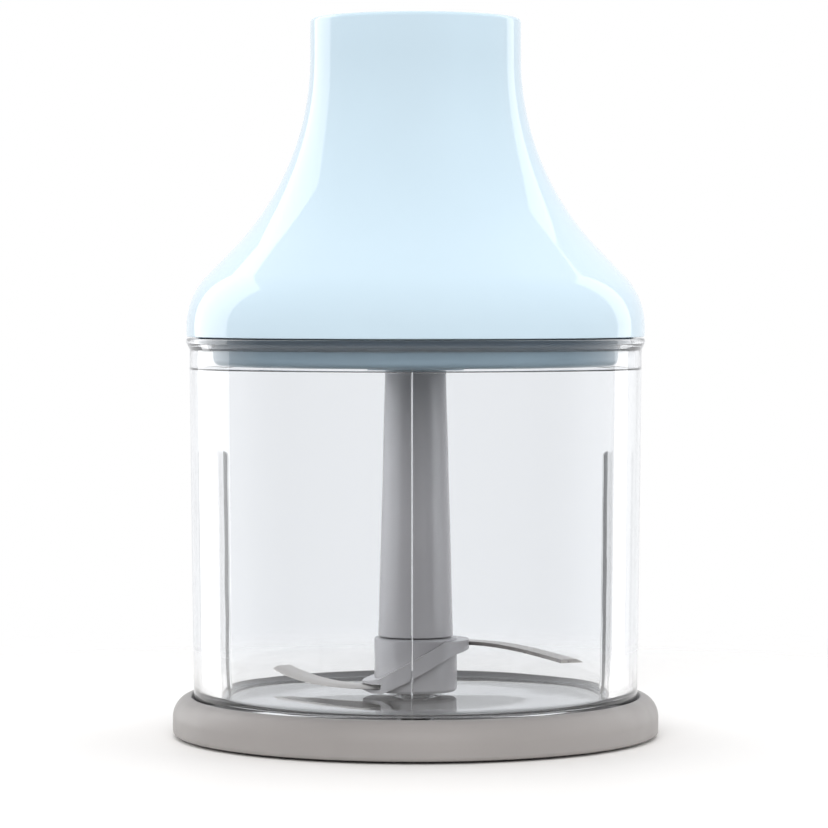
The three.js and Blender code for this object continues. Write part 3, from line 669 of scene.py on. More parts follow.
class CHOPPER_OT_stage(bpy.types.Operator):
    """Set up the pale floor, the studio light and the camera"""

    bl_idname = "chopper.stage"
    bl_label = "Stage"

    FLOOR = -0.00005  # a hair under the foot, so that the two faces don't fight

    def execute(self, context):
        sizes = context.scene.chopper_stage
        self.studio(context.scene, sizes)
        self.floor(sizes)
        for light in (
            # name, azimuth from the camera, height, distance, width and height of the panel,
            # brightness, and whether it shows in gloss
            ("left_softbox", -125, 0.34, 1.3, 0.9, 1.5, 1.55, True),
            ("right_softbox", 126.5, 0.34, 1.3, 0.38, 1.5, 1.35, True),
            ("front_fill", -4, 0.85, 1.6, 1.8, 1.2, 4.3, False),
            ("top_panel", 0, 1.5, 0.0, 1.2, 1.2, 1.7, False),
            ("right_fill", 90, 0.3, 1.3, 0.7, 0.9, 3.5, False),
            ("left_fill", -90, 0.35, 1.3, 0.5, 0.9, 2.4, False),
        ):
            self.lamp(*light)
        for light in (
            ("left_strip", -95, 0.1, 1.3, 1.9, 0.9, 4.0, True),
            ("right_strip", 80, 0.1, 1.3, 0.84, 0.9, 3.4, True),
        ):
            self.strip(self.lamp(*light))
        self.camera(context.scene, sizes)
        return {"FINISHED"}

    def studio(self, scene, sizes):
        """White all round to the eye; dimmer on the camera's side, where the studio is unlit."""
        world = bpy.data.worlds.new("studio")
        world.use_nodes = True
        tree = world.node_tree
        tree.nodes.clear()
        direction = add(tree, "ShaderNodeTexCoord").outputs["Generated"]
        parts = add(tree, "ShaderNodeSeparateXYZ", {"Vector": direction})
        lit = add(tree, "ShaderNodeMapRange", {
            "Value": parts.outputs["Y"], "From Min": -0.1, "From Max": 0.75,
            "To Min": 0.18 * sizes.world, "To Max": 1.23 * sizes.world,
        })
        around = add(tree, "ShaderNodeBackground", {
            "Color": linear("#fcfdff"), "Strength": lit.outputs["Result"],
        })
        seen = add(tree, "ShaderNodeBackground", {"Color": (1, 1, 1, 1), "Strength": 1.0})
        path = add(tree, "ShaderNodeLightPath")
        mixed = add(tree, "ShaderNodeMixShader", {
            0: path.outputs["Is Camera Ray"], 1: around.outputs["Background"], 2: seen.outputs["Background"],
        })
        add(tree, "ShaderNodeOutputWorld", {"Surface": mixed.outputs["Shader"]})
        scene.world = world
        scene.view_settings.view_transform = "Standard"
        scene.view_settings.look = "None"

    def floor(self, sizes):
        """A pale sheet that fades into the white all round, so no edge or horizon shows."""
        reach = sizes.floor_radius
        shape = bmesh.new()
        bmesh.ops.create_circle(shape, cap_ends=True, segments=96, radius=reach)
        bmesh.ops.translate(shape, vec=(0, 0, self.FLOOR), verts=shape.verts)
        mesh = bpy.data.meshes.new("studio_floor")
        shape.to_mesh(mesh)
        shape.free()
        material, tree = new_material("white_card_matt")
        spot = add(tree, "ShaderNodeTexCoord").outputs["Object"]
        far = add(tree, "ShaderNodeVectorMath", {0: spot}, operation="LENGTH")
        fade = add(tree, "ShaderNodeMapRange", {
            "Value": far.outputs["Value"], "From Min": 0.1, "From Max": 0.4 * reach,
            "To Min": 0.0, "To Max": 1.0,
        }, interpolation_type="SMOOTHSTEP")
        # The sheet is clear from underneath, so that it doesn't hide the base from there.
        under = add(tree, "ShaderNodeNewGeometry").outputs["Backfacing"]
        clear = add(tree, "ShaderNodeMath", {0: fade.outputs["Result"], 1: under}, operation="MAXIMUM")
        card = add(tree, "ShaderNodeBsdfPrincipled", {"Base Color": linear("#f4f2f0"), "Roughness": 0.6})
        away = add(tree, "ShaderNodeBsdfTransparent")
        mixed = add(tree, "ShaderNodeMixShader", {
            0: clear.outputs[0], 1: card.outputs["BSDF"], 2: away.outputs["BSDF"],
        })
        add(tree, "ShaderNodeOutputMaterial", {"Surface": mixed.outputs["Shader"]})
        mesh.materials.append(material)
        loose("studio_floor", mesh)

    def lamp(self, name, azimuth, height, distance, width, tall, brightness, shows):
        """A soft panel that faces the middle of the bowl."""
        data = bpy.data.lights.new(name, "AREA")
        data.shape = "RECTANGLE"
        data.size = width
        data.size_y = tall
        data.energy = brightness * width * tall * math.pi
        panel = bpy.data.objects.new(name, data)
        bpy.context.scene.collection.objects.link(panel)
        turn = math.radians(azimuth)
        panel.location = (distance * math.sin(turn), -distance * math.cos(turn), height)
        middle = Vector((0, 0, 0.1))
        panel.rotation_euler = (middle - panel.location).to_track_quat("-Z", "Y").to_euler()
        panel.visible_camera = False
        panel.visible_transmission = False
        panel.visible_glossy = shows
        return panel

    def strip(self, panel):
        """Keeps a panel for the blade unit: it draws a light band down either side of the stem."""
        panel.data.cycles.use_multiple_importance_sampling = False
        panel.light_linking.receiver_collection = inside_bowl()

    def camera(self, scene, sizes):
        """The camera stands in front, a little over the lid's skirt, and looks slightly down."""
        data = bpy.data.cameras.new("camera")
        data.lens = sizes.lens
        data.sensor_width = 36
        data.clip_start = 0.01
        data.clip_end = 20
        eye = bpy.data.objects.new("camera", data)
        scene.collection.objects.link(eye)
        eye.location = (-sizes.aside, -sizes.distance, sizes.eye)
        aim = Vector((-sizes.aside, 0, sizes.aim))
        eye.rotation_euler = (aim - eye.location).to_track_quat("-Z", "Y").to_euler()
        scene.camera = eye


class CHOPPER_OT_lid(bpy.types.Operator):
    """Build the glossy bell of the lid"""

    bl_idname = "chopper.lid"
    bl_label = "Bell lid"

    def bell(self, sizes, inset, steps):
        """The bell's outline, from the skirt up to the neck, moved inwards by `inset`."""
        round_off, sweep = sizes.shoulder_round * MM, sizes.neck_sweep * MM
        shoulder = Vector((sizes.skirt_radius * MM - round_off, sizes.shoulder_height * MM))
        neck = Vector((sizes.neck_radius * MM + sweep, sizes.neck_foot * MM))
        apart = neck - shoulder
        slope = math.degrees(math.atan2(apart.y, apart.x) - math.acos((sweep + round_off) / apart.length))
        return [
            *arc(*shoulder, round_off - inset, 0, slope, steps),
            *arc(*neck, sweep + inset, 180 + slope, 180, 2 * steps)[1:],
        ]

    def execute(self, context):
        sizes = context.scene.chopper_lid
        wall, skirt, neck = sizes.wall * MM, sizes.skirt_radius * MM, sizes.neck_radius * MM
        bottom, top = heights("lid_shell")
        lip = skirt - 3.1
        land = skirt - 3.3
        inside = [point for point in self.bell(sizes, wall, 16) if point[0] < land]
        profile = [
            *eased([(lip + 0.4, bottom), (skirt, bottom, 0.35), (skirt, bottom + 1.2)], closed=False),
            *self.bell(sizes, 0, 24),
            *arc(neck - 1, top - 1, 1, 0, 90, 6),
            *arc(neck - wall + 0.5, top - 0.5, 0.5, 90, 180, 4),
            *reversed(inside),
            (land, inside[0][1] - 3),
            (land, bottom + 3.4),
            (skirt - wall, bottom + 3.4),
            (skirt - wall, bottom + 0.6),
            (lip, bottom + 0.6),
        ]
        mesh = turned("lid_bell", profile, "lid_abs", CASING_SIDES)
        place("lid_bell", mesh, "lid", "lid_abs", ["lid_shell"])
        return {"FINISHED"}


class CHOPPER_OT_socket(bpy.types.Operator):
    """Build the socket cup in the neck and the hexagonal drive head in it"""

    bl_idname = "chopper.socket"
    bl_label = "Socket and drive head"

    def execute(self, context):
        bottom, top = heights("neck_sleeve")
        outer = radius_of("neck_sleeve") * MM
        inner, hole = outer - 2, 8.5
        cup = turned(
            "socket_cup",
            [
                (hole, bottom, 0.3), (outer, bottom, 1), (outer, top, 0.4), (inner, top, 0.6),
                (inner, bottom + 2, 1.2), (hole, bottom + 2, 0.4),
            ],
            "housing_abs",
        )
        across = outer + 1
        tools = [
            block("windows", (-across, across), (-4.5, 4.5), (top - 16.6, top - 11.6)),
            block("keyways", (-2, 2), (-inner - 1.1, inner + 1.1), (bottom + 3, top + 1)),
        ]
        place("socket_cup", combined(cup, "DIFFERENCE", tools), "lid", "housing_abs", ["neck_sleeve"])
        low, high = heights("drive_coupling")
        disc = turned(
            "hex_drive_head",
            [(0, low), (8, low, 0.4), (8, low + 2.5, 0.6), (0, low + 2.5)],
            "coupling_nylon", FINE_SIDES, closed=False,
        )
        corner = 10 / math.sqrt(3)  # the head is 10 mm across its flats
        head = turned(
            "hex_head",
            [(0, low + 2), (corner, low + 2), (corner, high - 1), (corner - 1, high), (0, high)],
            sides=6, closed=False,
        )
        bore = rod("bore", 3.3, low - 1, high - 2.6)
        mesh = combined(combined(disc, "UNION", [head]), "DIFFERENCE", [bore])
        place("hex_drive_head", mesh, "input", "coupling_nylon", ["drive_coupling"])
        return {"FINISHED"}


class CHOPPER_OT_plug(bpy.types.Operator):
    """Build the plug that closes the bowl, with its gasket and the shaft's drip seal"""

    bl_idname = "chopper.plug"
    bl_label = "Plug and seals"

    POSTS = 41  # from the axis to the posts that the case is screwed to, in millimetres
    FIRST_POST = 60  # where the first of them stands, in degrees

    def execute(self, context):
        plug = context.scene.chopper_lid.plug_radius * MM
        bottom, top = heights("gearbox_cover")
        floor, flange = bottom + 1.3, radius_of("gearbox_cover") * MM
        deck = floor + 2
        pan = turned(
            "bowl_plug",
            [
                (6.8, bottom, 0.3), (12, bottom, 0.6), (12, floor, 0.4), (plug, floor, 2.4),
                (plug, floor + 8, 0.2), (flange, floor + 8, 0.3), (flange, floor + 10.2, 0.3),
                (plug - 2.2, floor + 10.2, 0.3), (plug - 2.2, deck, 0.6), (33.8, deck, 0.3),
                (33.8, floor + 8.5, 0.3), (31.8, floor + 8.5, 0.3), (31.8, deck, 0.3), (12, deck, 0.4),
                (12, bottom + 5.7, 0.4), (6.8, bottom + 5.7, 0.3),
            ],
            "plug_abs", CASING_SIDES,
        )
        places = round_places(self.POSTS, self.FIRST_POST)
        posts = [prism("post", arc(x, y, 3.6, 0, 350, 35), deck - 0.5, top) for x, y in places]
        pilots = [prism("pilot", arc(x, y, 1.6, 0, 345, 23), top - 6, top + 1) for x, y in places]
        key = block("key", (-2.5, 2.5), (plug - 0.4, plug + 3.6), (floor + 0.3, floor + 5.2))
        mesh = combined(combined(pan, "UNION", [key, *posts]), "DIFFERENCE", pilots)
        place("bowl_plug", mesh, "lid", "plug_abs", ["gearbox_cover"])

        low, high = heights("lid_seal")
        lip = radius_of("lid_seal") * MM
        gasket = turned(
            "bowl_gasket",
            [
                (lip - 3.5, low, 0.2), (lip, low, 0.5), (lip, low + 1.2, 0.4), (lip - 0.7, low + 1.5, 0.2),
                (lip - 0.7, high, 0.2), (lip - 3.5, high, 0.2),
            ],
            "silicone", CASING_SIDES,
        )
        place("bowl_gasket", gasket, "lid", "silicone", ["lid_seal"])
        low, high = heights("shaft_seal")
        drip = turned(
            "drip_seal", [(4.8, low, 0.3), (6.5, low, 0.3), (6.5, high, 0.2), (4.8, high, 0.3)],
            "silicone", FINE_SIDES,
        )
        place("drip_seal", drip, "lid", "silicone", ["shaft_seal"])
        return {"FINISHED"}


class CHOPPER_OT_bowl(bpy.types.Operator):
    """Build the clear bowl with its two stirring ribs, its key guides and its parting lines"""

    bl_idname = "chopper.bowl"
    bl_label = "Clear bowl"

    SEAM = math.radians(-0.9)  # the mould's parting lines stand a little off the front and the back
    # In millimetres from here on.
    SEAM_HALF = 0.2  # half the width of a parting line
    CREST, LEAN = 46.9, 0.6  # from the axis to a rib's crest at its foot, and how much more at its top
    RIB_FOOT = 9.65  # height of a rib's foot
    RIB_ROUND = 1.4  # radius of a rib's rounded top
    FLANK = 0.16  # how far round the wall a rib takes to rise
    GUIDE = 3.8  # from the middle of the plug's key to each guide beside it
    GUIDE_CREST = 51.5  # from the axis to a guide's crest

    def angles(self, sizes):
        """Angles round the bowl in radians: even, with close steps at the ribs, guides and parting lines."""
        found = {round(math.tau * i / SIDES, 6) for i in range(SIDES)}
        rib = [0, 0.3, 0.55, 0.66, 0.72, 0.78, 0.84, 0.9, 0.98, 1.1, 1.3]
        seam = [0, 0.05, 0.1, 0.15, 0.2, 0.4]
        guide = [2.9, 2.98, 3.06, 3.2, 3.8, 4.4, 4.54, 4.62, 4.7]
        marks = []
        for centre, offsets, reach in (
            (0, rib, sizes.inner_foot),
            (math.pi, rib, sizes.inner_foot),
            (self.SEAM - math.pi / 2, seam, sizes.outer_top),
            (self.SEAM + math.pi / 2, seam, sizes.outer_top),
            (math.pi / 2, guide, sizes.outer_top),
        ):
            for offset in offsets:
                marks += [centre + offset / (reach * MM), centre - offset / (reach * MM)]
        marks = {round(mark % math.tau, 6) for mark in marks}
        even = {a for a in found if all(abs(a - m) > 0.004 for m in marks)}
        return sorted(even | marks)

    def rows(self, sizes):
        """The bowl's section as (radius, height, side) points: side says which features stand there."""
        low, rim = heights("bowl")
        ledge, collar = sizes.ledge * MM, sizes.collar * MM
        inner_top, inner_foot = sizes.inner_top * MM, sizes.inner_foot * MM
        outer_top, outer_foot, lip = sizes.outer_top * MM, sizes.outer_foot * MM, sizes.rim_radius * MM
        floor_under, floor_top, rest = low + 3.85, low + 6.45, low + 2.3
        under = eased([
            (2.8, low, 0.2), (4.6, low, 0.4), (4.6, floor_under, 0.3), (47.3, floor_under, 0.4),
            (48.8, rest, 0.3), (50.2, rest),
        ])[:-1]
        foot = arc(outer_foot - 3.5, rest + 3.5, 3.5, -90, 0, 10)
        taper = outer_top - outer_foot
        outside = [(outer_foot + taper * i / 12, 9 + (ledge - 9) * i / 12) for i in range(1, 13)]
        top = eased([
            (outer_top, ledge + 1), (outer_top, rim - 2.8, 0.5), (lip, rim - 1.2, 0.5), (lip, rim, 0.35),
            (collar, rim, 0.35), (collar, rim - 1),
        ], closed=False)
        guide_top = ledge + 5.3
        collar_wall = [(collar, guide_top + 0.35), (collar, guide_top + 0.2), (collar, guide_top)]
        collar_wall += [(collar, ledge + 3.5), (collar, ledge + 2), (collar, ledge + 0.6)]
        step = eased([
            (collar, ledge + 0.5), (collar, ledge, 0.2), (inner_top, ledge, 0.45), (inner_top, ledge - 0.6),
        ], closed=False)
        rib_top = sizes.rib_top * MM
        stops = [ledge - 4, ledge - 9, rib_top + 4, rib_top + 1, rib_top + 0.15]
        drops = (0.05, 0.15, 0.3, 0.5, 0.8, 1.1, 1.4, 2, 4, 8, 14, 22, 30, 38, 46, 52)
        stops += [rib_top - drop for drop in drops]
        draft = (inner_top - inner_foot) / (ledge - floor_top - 2)
        inside = [(inner_top - draft * (ledge - z), z) for z in stops if z > floor_top + 2.5]
        fillet = arc(inner_foot - 2, floor_top + 2, 2, 0, -90, 8)
        middle = eased([
            (30, floor_top), (4.6, floor_top, 0.12), (4.6, low + 7.7, 0.12), (2.8, low + 7.7, 0.1),
            (2.8, low + 5),
        ], closed=False)
        parts = [
            ("plain", under), ("out", foot), ("out", outside), ("plain", top), ("collar", collar_wall),
            ("plain", step), ("in", inside), ("in", fillet), ("plain", [(38, floor_top)]), ("plain", middle),
        ]
        return [(r, z, side) for side, points in parts for r, z in points]

    def moved(self, r, z, side, angle, sizes):
        """The radius of a point of the section at an angle, with what stands on the wall there."""
        if side == "in":
            top, half = sizes.rib_top * MM, sizes.rib_width * MM / 2
            off = abs(math.remainder(angle, math.pi)) * r
            crest = self.CREST + self.LEAN * (z - self.RIB_FOOT) / (top - self.RIB_FOOT)
            turn = self.RIB_ROUND
            if z > top - turn:
                rise = min((z - top + turn) / turn, 1)
                crest += turn * (1 - math.sqrt(1 - rise * rise))
            share = min(max((half + 0.02 - off) / self.FLANK, 0), 1)
            share = share * share * (3 - 2 * share)
            if z <= top and crest < r:
                return r + (crest - r) * share
            return r
        if side == "out":
            off = abs(math.remainder(angle - math.pi / 2 - self.SEAM, math.pi)) * r
            if off < self.SEAM_HALF and z > 8.5:
                return r + sizes.parting * MM * (1 - (off / self.SEAM_HALF) ** 2) ** 2
            return r
        if side == "collar" and z < sizes.ledge * MM + 5.35 and 0 < angle < math.pi:
            off = abs(abs(r * math.cos(angle)) - self.GUIDE)
            if off < 0.9:
                share = min(max((0.86 - off) / 0.14, 0), 1)
                return r + (self.GUIDE_CREST - r) * share
        return r

    def execute(self, context):
        sizes = context.scene.chopper_bowl
        angles = self.angles(sizes)
        rings = []
        for r, z, side in self.rows(sizes):
            reaches = [self.moved(r, z, side, angle, sizes) for angle in angles]
            rings.append([(r * math.cos(a), r * math.sin(a), z) for r, a in zip(reaches, angles)])
        mesh = skinned("clear_bowl", rings, capped=False)
        place("clear_bowl", mesh, "bowl", "clear_copolyester", ["bowl"])
        return {"FINISHED"}


class CHOPPER_OT_base(bpy.types.Operator):
    """Build the soft base and the rubber ring that it grips the table with"""

    bl_idname = "chopper.base"
    bl_label = "Base and foot"

    def execute(self, context):
        sizes = context.scene.chopper_base
        radius, crest_radius = sizes.radius * MM, sizes.crest_radius * MM
        foot, crest = heights("base_tray")
        low, high = heights("foot_ring")
        wall, ledge = sizes.wall_radius * MM, sizes.ledge_radius * MM
        inner, outer = sizes.foot_inner * MM, radius_of("foot_ring") * MM
        lip = foot + 4
        shoulder = [
            (crest_radius + (radius - crest_radius) * x, lip + (crest - lip) * z)
            for x, z in arc(0, 0, 1, 0, 90, 20)
        ]
        profile = [
            (0, foot + 0.4),
            *eased([
                (inner - 3, foot + 0.4), (inner - 0.4, foot + 0.4, 0.3), (inner - 0.4, high + 0.3, 0.2),
                (outer + 0.4, high + 0.3, 0.2), (outer + 0.4, foot, 0.3), (radius, foot, 1.1),
                (radius, lip - 1),
            ], closed=False),
            *shoulder,
            *eased([
                (wall + 0.3, crest), (wall, crest - 0.3, 0.2), (wall, foot + 4.6, 0.4),
                (ledge, foot + 4.6, 0.4),
                (ledge, foot + 2, 0.6), (20, foot + 2),
            ], closed=False),
            (0, foot + 2),
        ]
        mesh = turned("soft_tray", profile, "soft_base", CASING_SIDES, closed=False)
        place("soft_tray", mesh, "base", "soft_base", ["base_tray"])
        foot_line = [(inner, low, 0.5), (outer, low, 0.5), (outer, high, 0.2), (inner, high, 0.2)]
        ring = turned("grip_foot", foot_line, "foot_rubber")
        place("grip_foot", ring, "base", "foot_rubber", ["foot_ring"])
        return {"FINISHED"}


class CHOPPER_OT_pivot(bpy.types.Operator):
    """Build the steel pin in the bowl and the nylon liner that turns on it"""

    bl_idname = "chopper.pivot"
    bl_label = "Pin and liner"

    def execute(self, context):
        low, high = heights("pivot_pin")
        radius = radius_of("pivot_pin") * MM
        pin = turned(
            "centre_pin",
            [(0, low), (radius, low, 0.4), (radius, high - 0.8, 1.5), (0, high)],
            "turned_steel", FINE_SIDES, closed=False,
        )
        place("centre_pin", pin, "bowl", "turned_steel", ["pivot_pin"])
        low, high = heights("pivot_sleeve")
        bore, flange = radius + 0.3, radius_of("pivot_sleeve") * MM
        liner = turned(
            "pin_liner",
            [
                (bore, low, 0.2), (flange, low, 0.25), (flange, low + 1, 0.25), (flange - 1.4, low + 1, 0.2),
                (flange - 1.4, high, 0.3), (bore, high, 0.3),
            ],
            "coupling_nylon", FINE_SIDES,
        )
        place("pin_liner", liner, "pivot", "coupling_nylon", ["pivot_sleeve"])
        return {"FINISHED"}


class CHOPPER_OT_blade(bpy.types.Operator):
    """Build the blade unit: stem, collar with its sloping cuff, and the S-shaped blade"""

    bl_idname = "chopper.blade"
    bl_label = "Blade unit"

    # A wing's middle line from above, as the four points of a cubic curve, in millimetres.
    CURVE = (Vector((0, 0)), Vector((12, 14)), Vector((24, -2)), Vector((35.6, -27)))
    HALF_WIDTHS = (4.2, 3.6, 3.2, 2.9, 2.6)  # half the blade's width, from the stem to the tip
    RAMP = 9  # how far from the axis the blade's slope ends

    def level(self):
        """Height of the blade's middle, in millimetres."""
        return heights("blade_hub")[0] + 6.9

    def half_width(self, t):
        """Half the blade's width at t, 0 at the stem and 1 at the tip."""
        spot = t * (len(self.HALF_WIDTHS) - 1)
        i = min(int(spot), len(self.HALF_WIDTHS) - 2)
        return self.HALF_WIDTHS[i] + (self.HALF_WIDTHS[i + 1] - self.HALF_WIDTHS[i]) * (spot - i)

    def middle(self, t, x, sizes):
        """Height of the blade's middle plane: a ramp in the collar, level wings, tips bent back."""
        ramp = sizes.rise * MM * min(max(x / self.RAMP, -1), 1)
        bend = min(max((t - 0.5) / 0.5, 0), 1)
        return self.level() + ramp - math.copysign(1.6 * bend * bend, x)

    def ribbon(self, name, section, margin, sizes, steps=72):
        """A strip along the S: `section` is (across, up) corners, across from -1 to 1, up in millimetres.
        Across 1 is the leading side of both wings."""
        a, b, c, d = self.CURVE
        rings = []
        for k in range(-steps, steps + 1):
            side = -1 if k < 0 else 1
            t = abs(k) / steps
            centre = a * (1 - t) ** 3 + b * 3 * t * (1 - t) ** 2 + c * 3 * t * t * (1 - t) + d * t**3
            along = (b - a) * 3 * (1 - t) ** 2 + (c - b) * 6 * t * (1 - t) + (d - c) * 3 * t * t
            along.normalize()
            ring = []
            blend = min(t * 4, 1)  # the ground edge starts clear of the collar
            for across, up in section:
                reach = side * across * (self.half_width(t) + margin)
                x = side * (centre.x - along.y * reach)
                y = side * (centre.y + along.x * reach)
                lift = up(side * across, blend) if callable(up) else up
                ring.append((x, y, self.middle(t, x, sizes) + lift))
            rings.append(ring)
        return skinned(name, rings)

    def blade(self, sizes):
        """The blade, its leading edge ground to a bevel on top, trimmed to the circle that it sweeps."""
        half = sizes.thickness * MM / 2

        def ground(across, blend):
            """The top of the strip falls away towards the leading edge of either wing."""
            slope = min(max((across - 0.45) / 0.55, 0), 1) * blend
            return half - slope * (2 * half - 0.16)

        tops = [(v, ground) for v in (1.0, 0.75, 0.45, 0.2, 0, -0.3, -0.6, -0.85, -1.0)]
        unders = [(v, -half) for v in (-1.0, -0.6, -0.2, 0.2, 0.6, 1.0)]
        return self.ribbon("s_blade", tops + unders, 0, sizes)

    def ramp(self, name, thickness, sizes, ends=None):
        """A level plate at either side and a ramp between them, as the blade runs through its collar.
        With `ends`, the plate thins to that thickness at its two ends."""
        middle, rise = self.level(), sizes.rise * MM
        reach = 14.2
        low, high = middle - rise, middle + rise
        line = [(-reach, low), (-self.RAMP, low), (self.RAMP, high), (reach, high)]
        halves = {reach: (ends or thickness) / 2, self.RAMP: thickness / 2}
        under = [(x, z - halves[abs(x)], 3) for x, z in line]
        over = [(x, z + halves[abs(x)], 3) for x, z in reversed(line)]
        outline = [corner if abs(corner[0]) == self.RAMP else corner[:2] for corner in under + over]
        mesh = prism(name, eased(outline, steps=8), -reach, reach)
        mesh.transform(Matrix.Rotation(math.radians(90), 4, "X"))
        return mesh

    def blank(self, name, mesh, thickness, margin, sizes):
        """The strip with the round eye at its middle that the stem passes through."""
        low, high = heights("blade_hub")
        reach = 9.1 + margin
        disc = rod(name + "_disc", reach, low, high)
        eye = combined(self.ramp(name + "_eye", thickness, sizes), "INTERSECT", [disc])
        return combined(mesh, "UNION", [eye])

    def execute(self, context):
        sizes = context.scene.chopper_blade
        low, high = heights("blade_hub")
        core, collar = sizes.core * MM, sizes.collar * MM
        hole = (core + 0.3, low - 1, high + 1)
        swept, thickness = sizes.swept * MM, sizes.thickness * MM

        circle = rod("circle", swept, low, high, SIDES)
        blade = self.blank("s_blade", self.blade(sizes), thickness, 0, sizes)
        blade = combined(blade, "INTERSECT", [circle])
        blade = combined(blade, "DIFFERENCE", [rod("hole", *hole)])
        place("s_blade", blade, "blade", "blade_steel", ["blade_strip"], math.radians(20))

        ring = turned(
            "blade_collar",
            [(0, low), (collar - 0.6, low, 0.4), (collar, low + 0.8, 0.4), (collar, high, 0.7), (0, high)],
            "stem_abs", closed=False,
        )
        oval = rod("oval", 1, low, high - 0.5, SIDES)
        oval.transform(Matrix.Diagonal((13.2, 11.9, 1, 1)))
        cuff = combined(self.ramp("cuff", 4.4, sizes, 1.9), "INTERSECT", [oval])
        gap = thickness / 2 + 0.3
        slit = self.ribbon("slit", [(1, -gap), (1, gap), (-1, gap), (-1, -gap)], 0.3, sizes, 48)
        slit = self.blank("slit", slit, 2 * gap, 0.3, sizes)
        hub = combined(ring, "UNION", [cuff])
        hub = combined(hub, "DIFFERENCE", [rod("bore", *hole), slit])
        place("blade_collar", hub, "blade", "stem_abs", ["blade_hub"])

        bottom, top = heights("blade_stem")
        wide, narrow = sizes.stem_foot * MM, sizes.stem_top * MM
        stem = turned(
            "blade_post",
            [
                (0, 50), (4.5, 50, 0.3), (4.5, bottom, 0.3), (core, bottom, 0.3), (core, high + 0.3, 0.2),
                (wide, high + 0.3, 0.3), (narrow, top, 0.8), (0, top),
            ],
            "stem_abs", closed=False,
        )
        socket = prism("socket", hexagon(8.2), top - 9.1, top + 1)
        stem = combined(stem, "DIFFERENCE", [socket])
        place("blade_post", stem, "blade", "stem_abs", ["blade_stem"])
        return {"FINISHED"}


PLANET_REACH = 18.75  # from the axis to each planet gear's pin, in millimetres


def round_places(reach, start):
    """Three places round the axis, as (x, y) in millimetres."""
    turns = [math.radians(start + 120 * i) for i in range(3)]
    return [(reach * math.cos(t), reach * math.sin(t)) for t in turns]


class CHOPPER_OT_screws(bpy.types.Operator):
    """Build the three screws that hold the gear case, and the three planet pins"""

    bl_idname = "chopper.screws"
    bl_label = "Screws and pins"

    def execute(self, context):
        low, top = heights("housing_screw_1")
        seat, shank, root = top - 1.8, 1.3, 1.05
        pitch = 0.8
        thread = [(0, low), (root, low + pitch)]
        for i in range(int((seat - 1.2 - low - pitch) / pitch)):
            z = low + pitch + pitch * i
            thread += [(root, z + 0.1), (shank, z + 0.35), (shank, z + 0.5), (root, z + 0.75)]
        head = [(shank, seat - 0.6), (shank, seat), (2.6, seat, 0.15), (2.6, top, 0.9), (0, top)]
        screw = turned("screw", thread + eased(head, closed=False), sides=32, closed=False)
        long, short, deep = (-1.43, 1.43), (-0.4, 0.4), (top - 0.9, top + 1)
        cross = [block("slot", long, short, deep), block("slot", short, long, deep)]
        screw = combined(screw, "DIFFERENCE", cross)
        places = round_places(CHOPPER_OT_plug.POSTS, CHOPPER_OT_plug.FIRST_POST)
        screws = repeated("case_screws", screw, places, "screw_steel")
        nodes = [f"housing_screw_{i}" for i in (1, 2, 3)]
        place("case_screws", screws, "lid", "screw_steel", nodes)

        low, top = heights("planet_pin_1")
        ends = [(0, low), (2, low, 0.4), (2, top, 0.5), (0, top)]
        axle = turned("axle", ends, sides=48, closed=False)
        pins = repeated("planet_axles", axle, round_places(PLANET_REACH, 0), "turned_steel")
        nodes = [f"planet_pin_{i}" for i in (1, 2, 3)]
        place("planet_axles", pins, "carrier", "turned_steel", nodes)
        return {"FINISHED"}


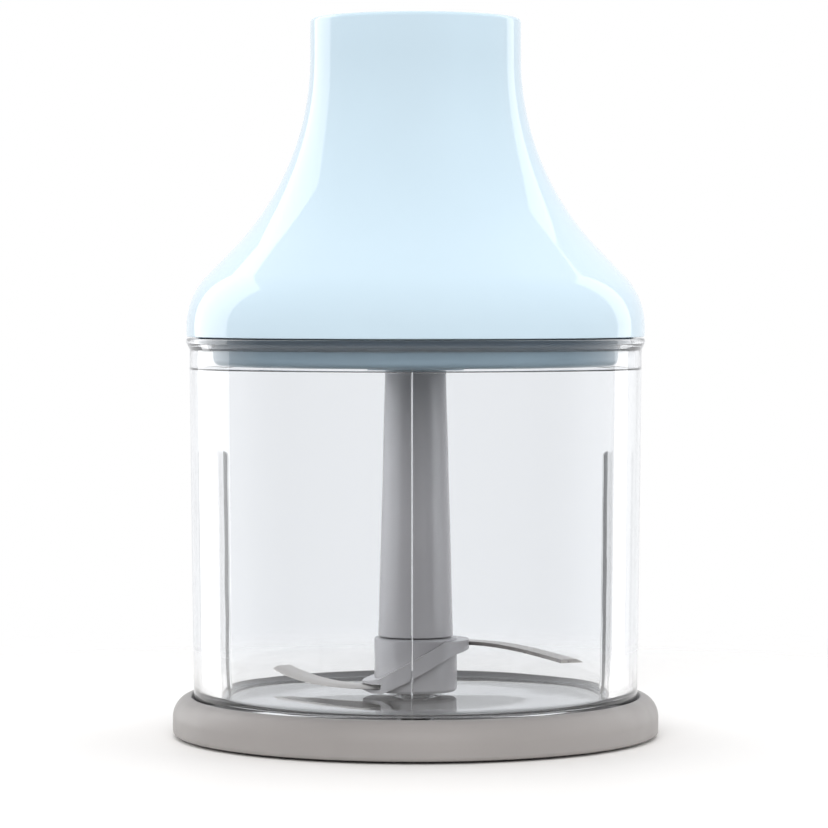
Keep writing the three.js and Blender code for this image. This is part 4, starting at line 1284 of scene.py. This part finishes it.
class CHOPPER_OT_gears(bpy.types.Operator):
    """Build the sun gear, the three planet gears and the ring gear from one tooth each"""

    bl_idname = "chopper.gears"
    bl_label = "Gears"

    MODULE = 1.25  # millimetres of pitch diameter for each tooth
    PRESSURE = math.radians(25)
    THIN = 0.15  # how much each tooth is thinned for backlash, in millimetres
    SHORT, LONG = 0.85, 1.1  # a tooth's tip and root from the pitch circle, in modules
    SUN, PLANET, RING = 12, 18, 48  # teeth

    def tooth(self, teeth, below, above, thin):
        """One tooth's outline about +X, out to the middle of the space at either side of it. It
        reaches `below` and `above` modules in and out from the pitch circle, on involute flanks."""
        pitch = self.MODULE * teeth / 2
        foot = pitch * math.cos(self.PRESSURE)
        half = math.pi / (2 * teeth) - thin / (2 * pitch) + math.tan(self.PRESSURE) - self.PRESSURE
        flank = []
        for i in range(8):
            radius = pitch + self.MODULE * (i / 7 * (above + below) - below)
            angle = math.acos(min(foot / radius, 1))
            flank.append((radius, half - math.tan(angle) + angle))
        between = (flank[0][0], math.pi / teeth)
        tip = (flank[-1][0], 0)
        side = [between, *flank]
        points = [(r, -a) for r, a in side] + [tip] + [(r, a) for r, a in reversed(side)]
        return [(r * math.cos(a), r * math.sin(a), 0) for r, a in points]

    def wheel(self, name, node, teeth, rim, below, above, thin):
        """A gear as a plain mesh."""
        low, high = heights(node)
        points = self.tooth(teeth, below, above, thin)
        line = bpy.data.meshes.new(name + "_tooth")
        line.from_pydata(points, [(i, i + 1) for i in range(len(points) - 1)], [])
        scratch = loose(name + "_tooth", line)
        mesh = grown(
            name, gear_tree(), Tooth=scratch, Teeth=teeth, Rim=rim, Sides=FINE_SIDES, Bottom=low,
            Thickness=high - low, Material=finish("acetal"),
        )
        bpy.data.objects.remove(scratch)
        return tidied(mesh)

    def execute(self, context):
        short, deep, thin = self.SHORT, self.LONG, self.THIN
        sun = self.wheel("sun_wheel", "sun_gear", self.SUN, 3.3, deep, short, thin)
        place("sun_wheel", sun, "input", "acetal", ["sun_gear"])
        ring = self.wheel("toothed_ring", "ring_gear", self.RING, 34, short, deep, -thin)
        ring.transform(Matrix.Rotation(math.pi / self.RING, 4, "Z"))
        place("toothed_ring", ring, "lid", "acetal", ["ring_gear"])
        for i, (x, y) in enumerate(round_places(PLANET_REACH, 0)):
            name, node = f"planet_wheel_{i + 1}", f"planet_gear_{i + 1}"
            planet = self.wheel(name, "planet_gear_1", self.PLANET, 2.35, deep, short, thin)
            turn = Matrix.Rotation(math.tau * i / 3 + math.pi + math.pi / self.PLANET, 4, "Z")
            planet.transform(Matrix.Translation((x, y, 0)) @ turn)
            place(name, planet, f"planet_{i + 1}", "acetal", [node])
        return {"FINISHED"}


class CHOPPER_OT_carried(bpy.types.Operator):
    """Give the gearbox pieces that stay as they are their materials"""

    bl_idname = "chopper.carried"
    bl_label = "Gearbox finishes"

    def execute(self, context):
        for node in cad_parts.values():
            if node.hide_render:
                continue
            for slot in node.material_slots:
                slot.material = finish(slot.material.name)
        return {"FINISHED"}


OPERATORS = (
    CHOPPER_OT_stage,
    CHOPPER_OT_base,
    CHOPPER_OT_bowl,
    CHOPPER_OT_pivot,
    CHOPPER_OT_blade,
    CHOPPER_OT_lid,
    CHOPPER_OT_socket,
    CHOPPER_OT_plug,
    CHOPPER_OT_screws,
    CHOPPER_OT_gears,
    CHOPPER_OT_carried,
)


class CHOPPER_PT_panel(bpy.types.Panel):
    """Lists the pieces of the chopping bowl and their sizes"""

    bl_label = "Chopping Bowl"
    bl_idname = "CHOPPER_PT_panel"
    bl_space_type = "VIEW_3D"
    bl_region_type = "UI"
    bl_category = "Chopping Bowl"

    def draw(self, context):
        for operator in OPERATORS:
            self.layout.operator(operator.bl_idname)
        for name, group in GROUPS.items():
            box = self.layout.box()
            for field in group.__annotations__:
                box.prop(getattr(context.scene, name), field)


def register():
    """Registers the sizes, the operators and the panel."""
    for name, group in GROUPS.items():
        bpy.utils.register_class(group)
        setattr(bpy.types.Scene, name, bpy.props.PointerProperty(type=group))
    for item in (*OPERATORS, CHOPPER_PT_panel):
        bpy.utils.register_class(item)


def unregister():
    """Takes the panel, the operators and the sizes away again."""
    for item in (CHOPPER_PT_panel, *reversed(OPERATORS)):
        bpy.utils.unregister_class(item)
    for name, group in reversed(GROUPS.items()):
        delattr(bpy.types.Scene, name)
        bpy.utils.unregister_class(group)


def main():
    """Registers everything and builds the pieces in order."""
    register()
    for operator in OPERATORS:
        family, name = operator.bl_idname.split(".")
        getattr(getattr(bpy.ops, family), name)()


if __name__ == "__main__":
    main()
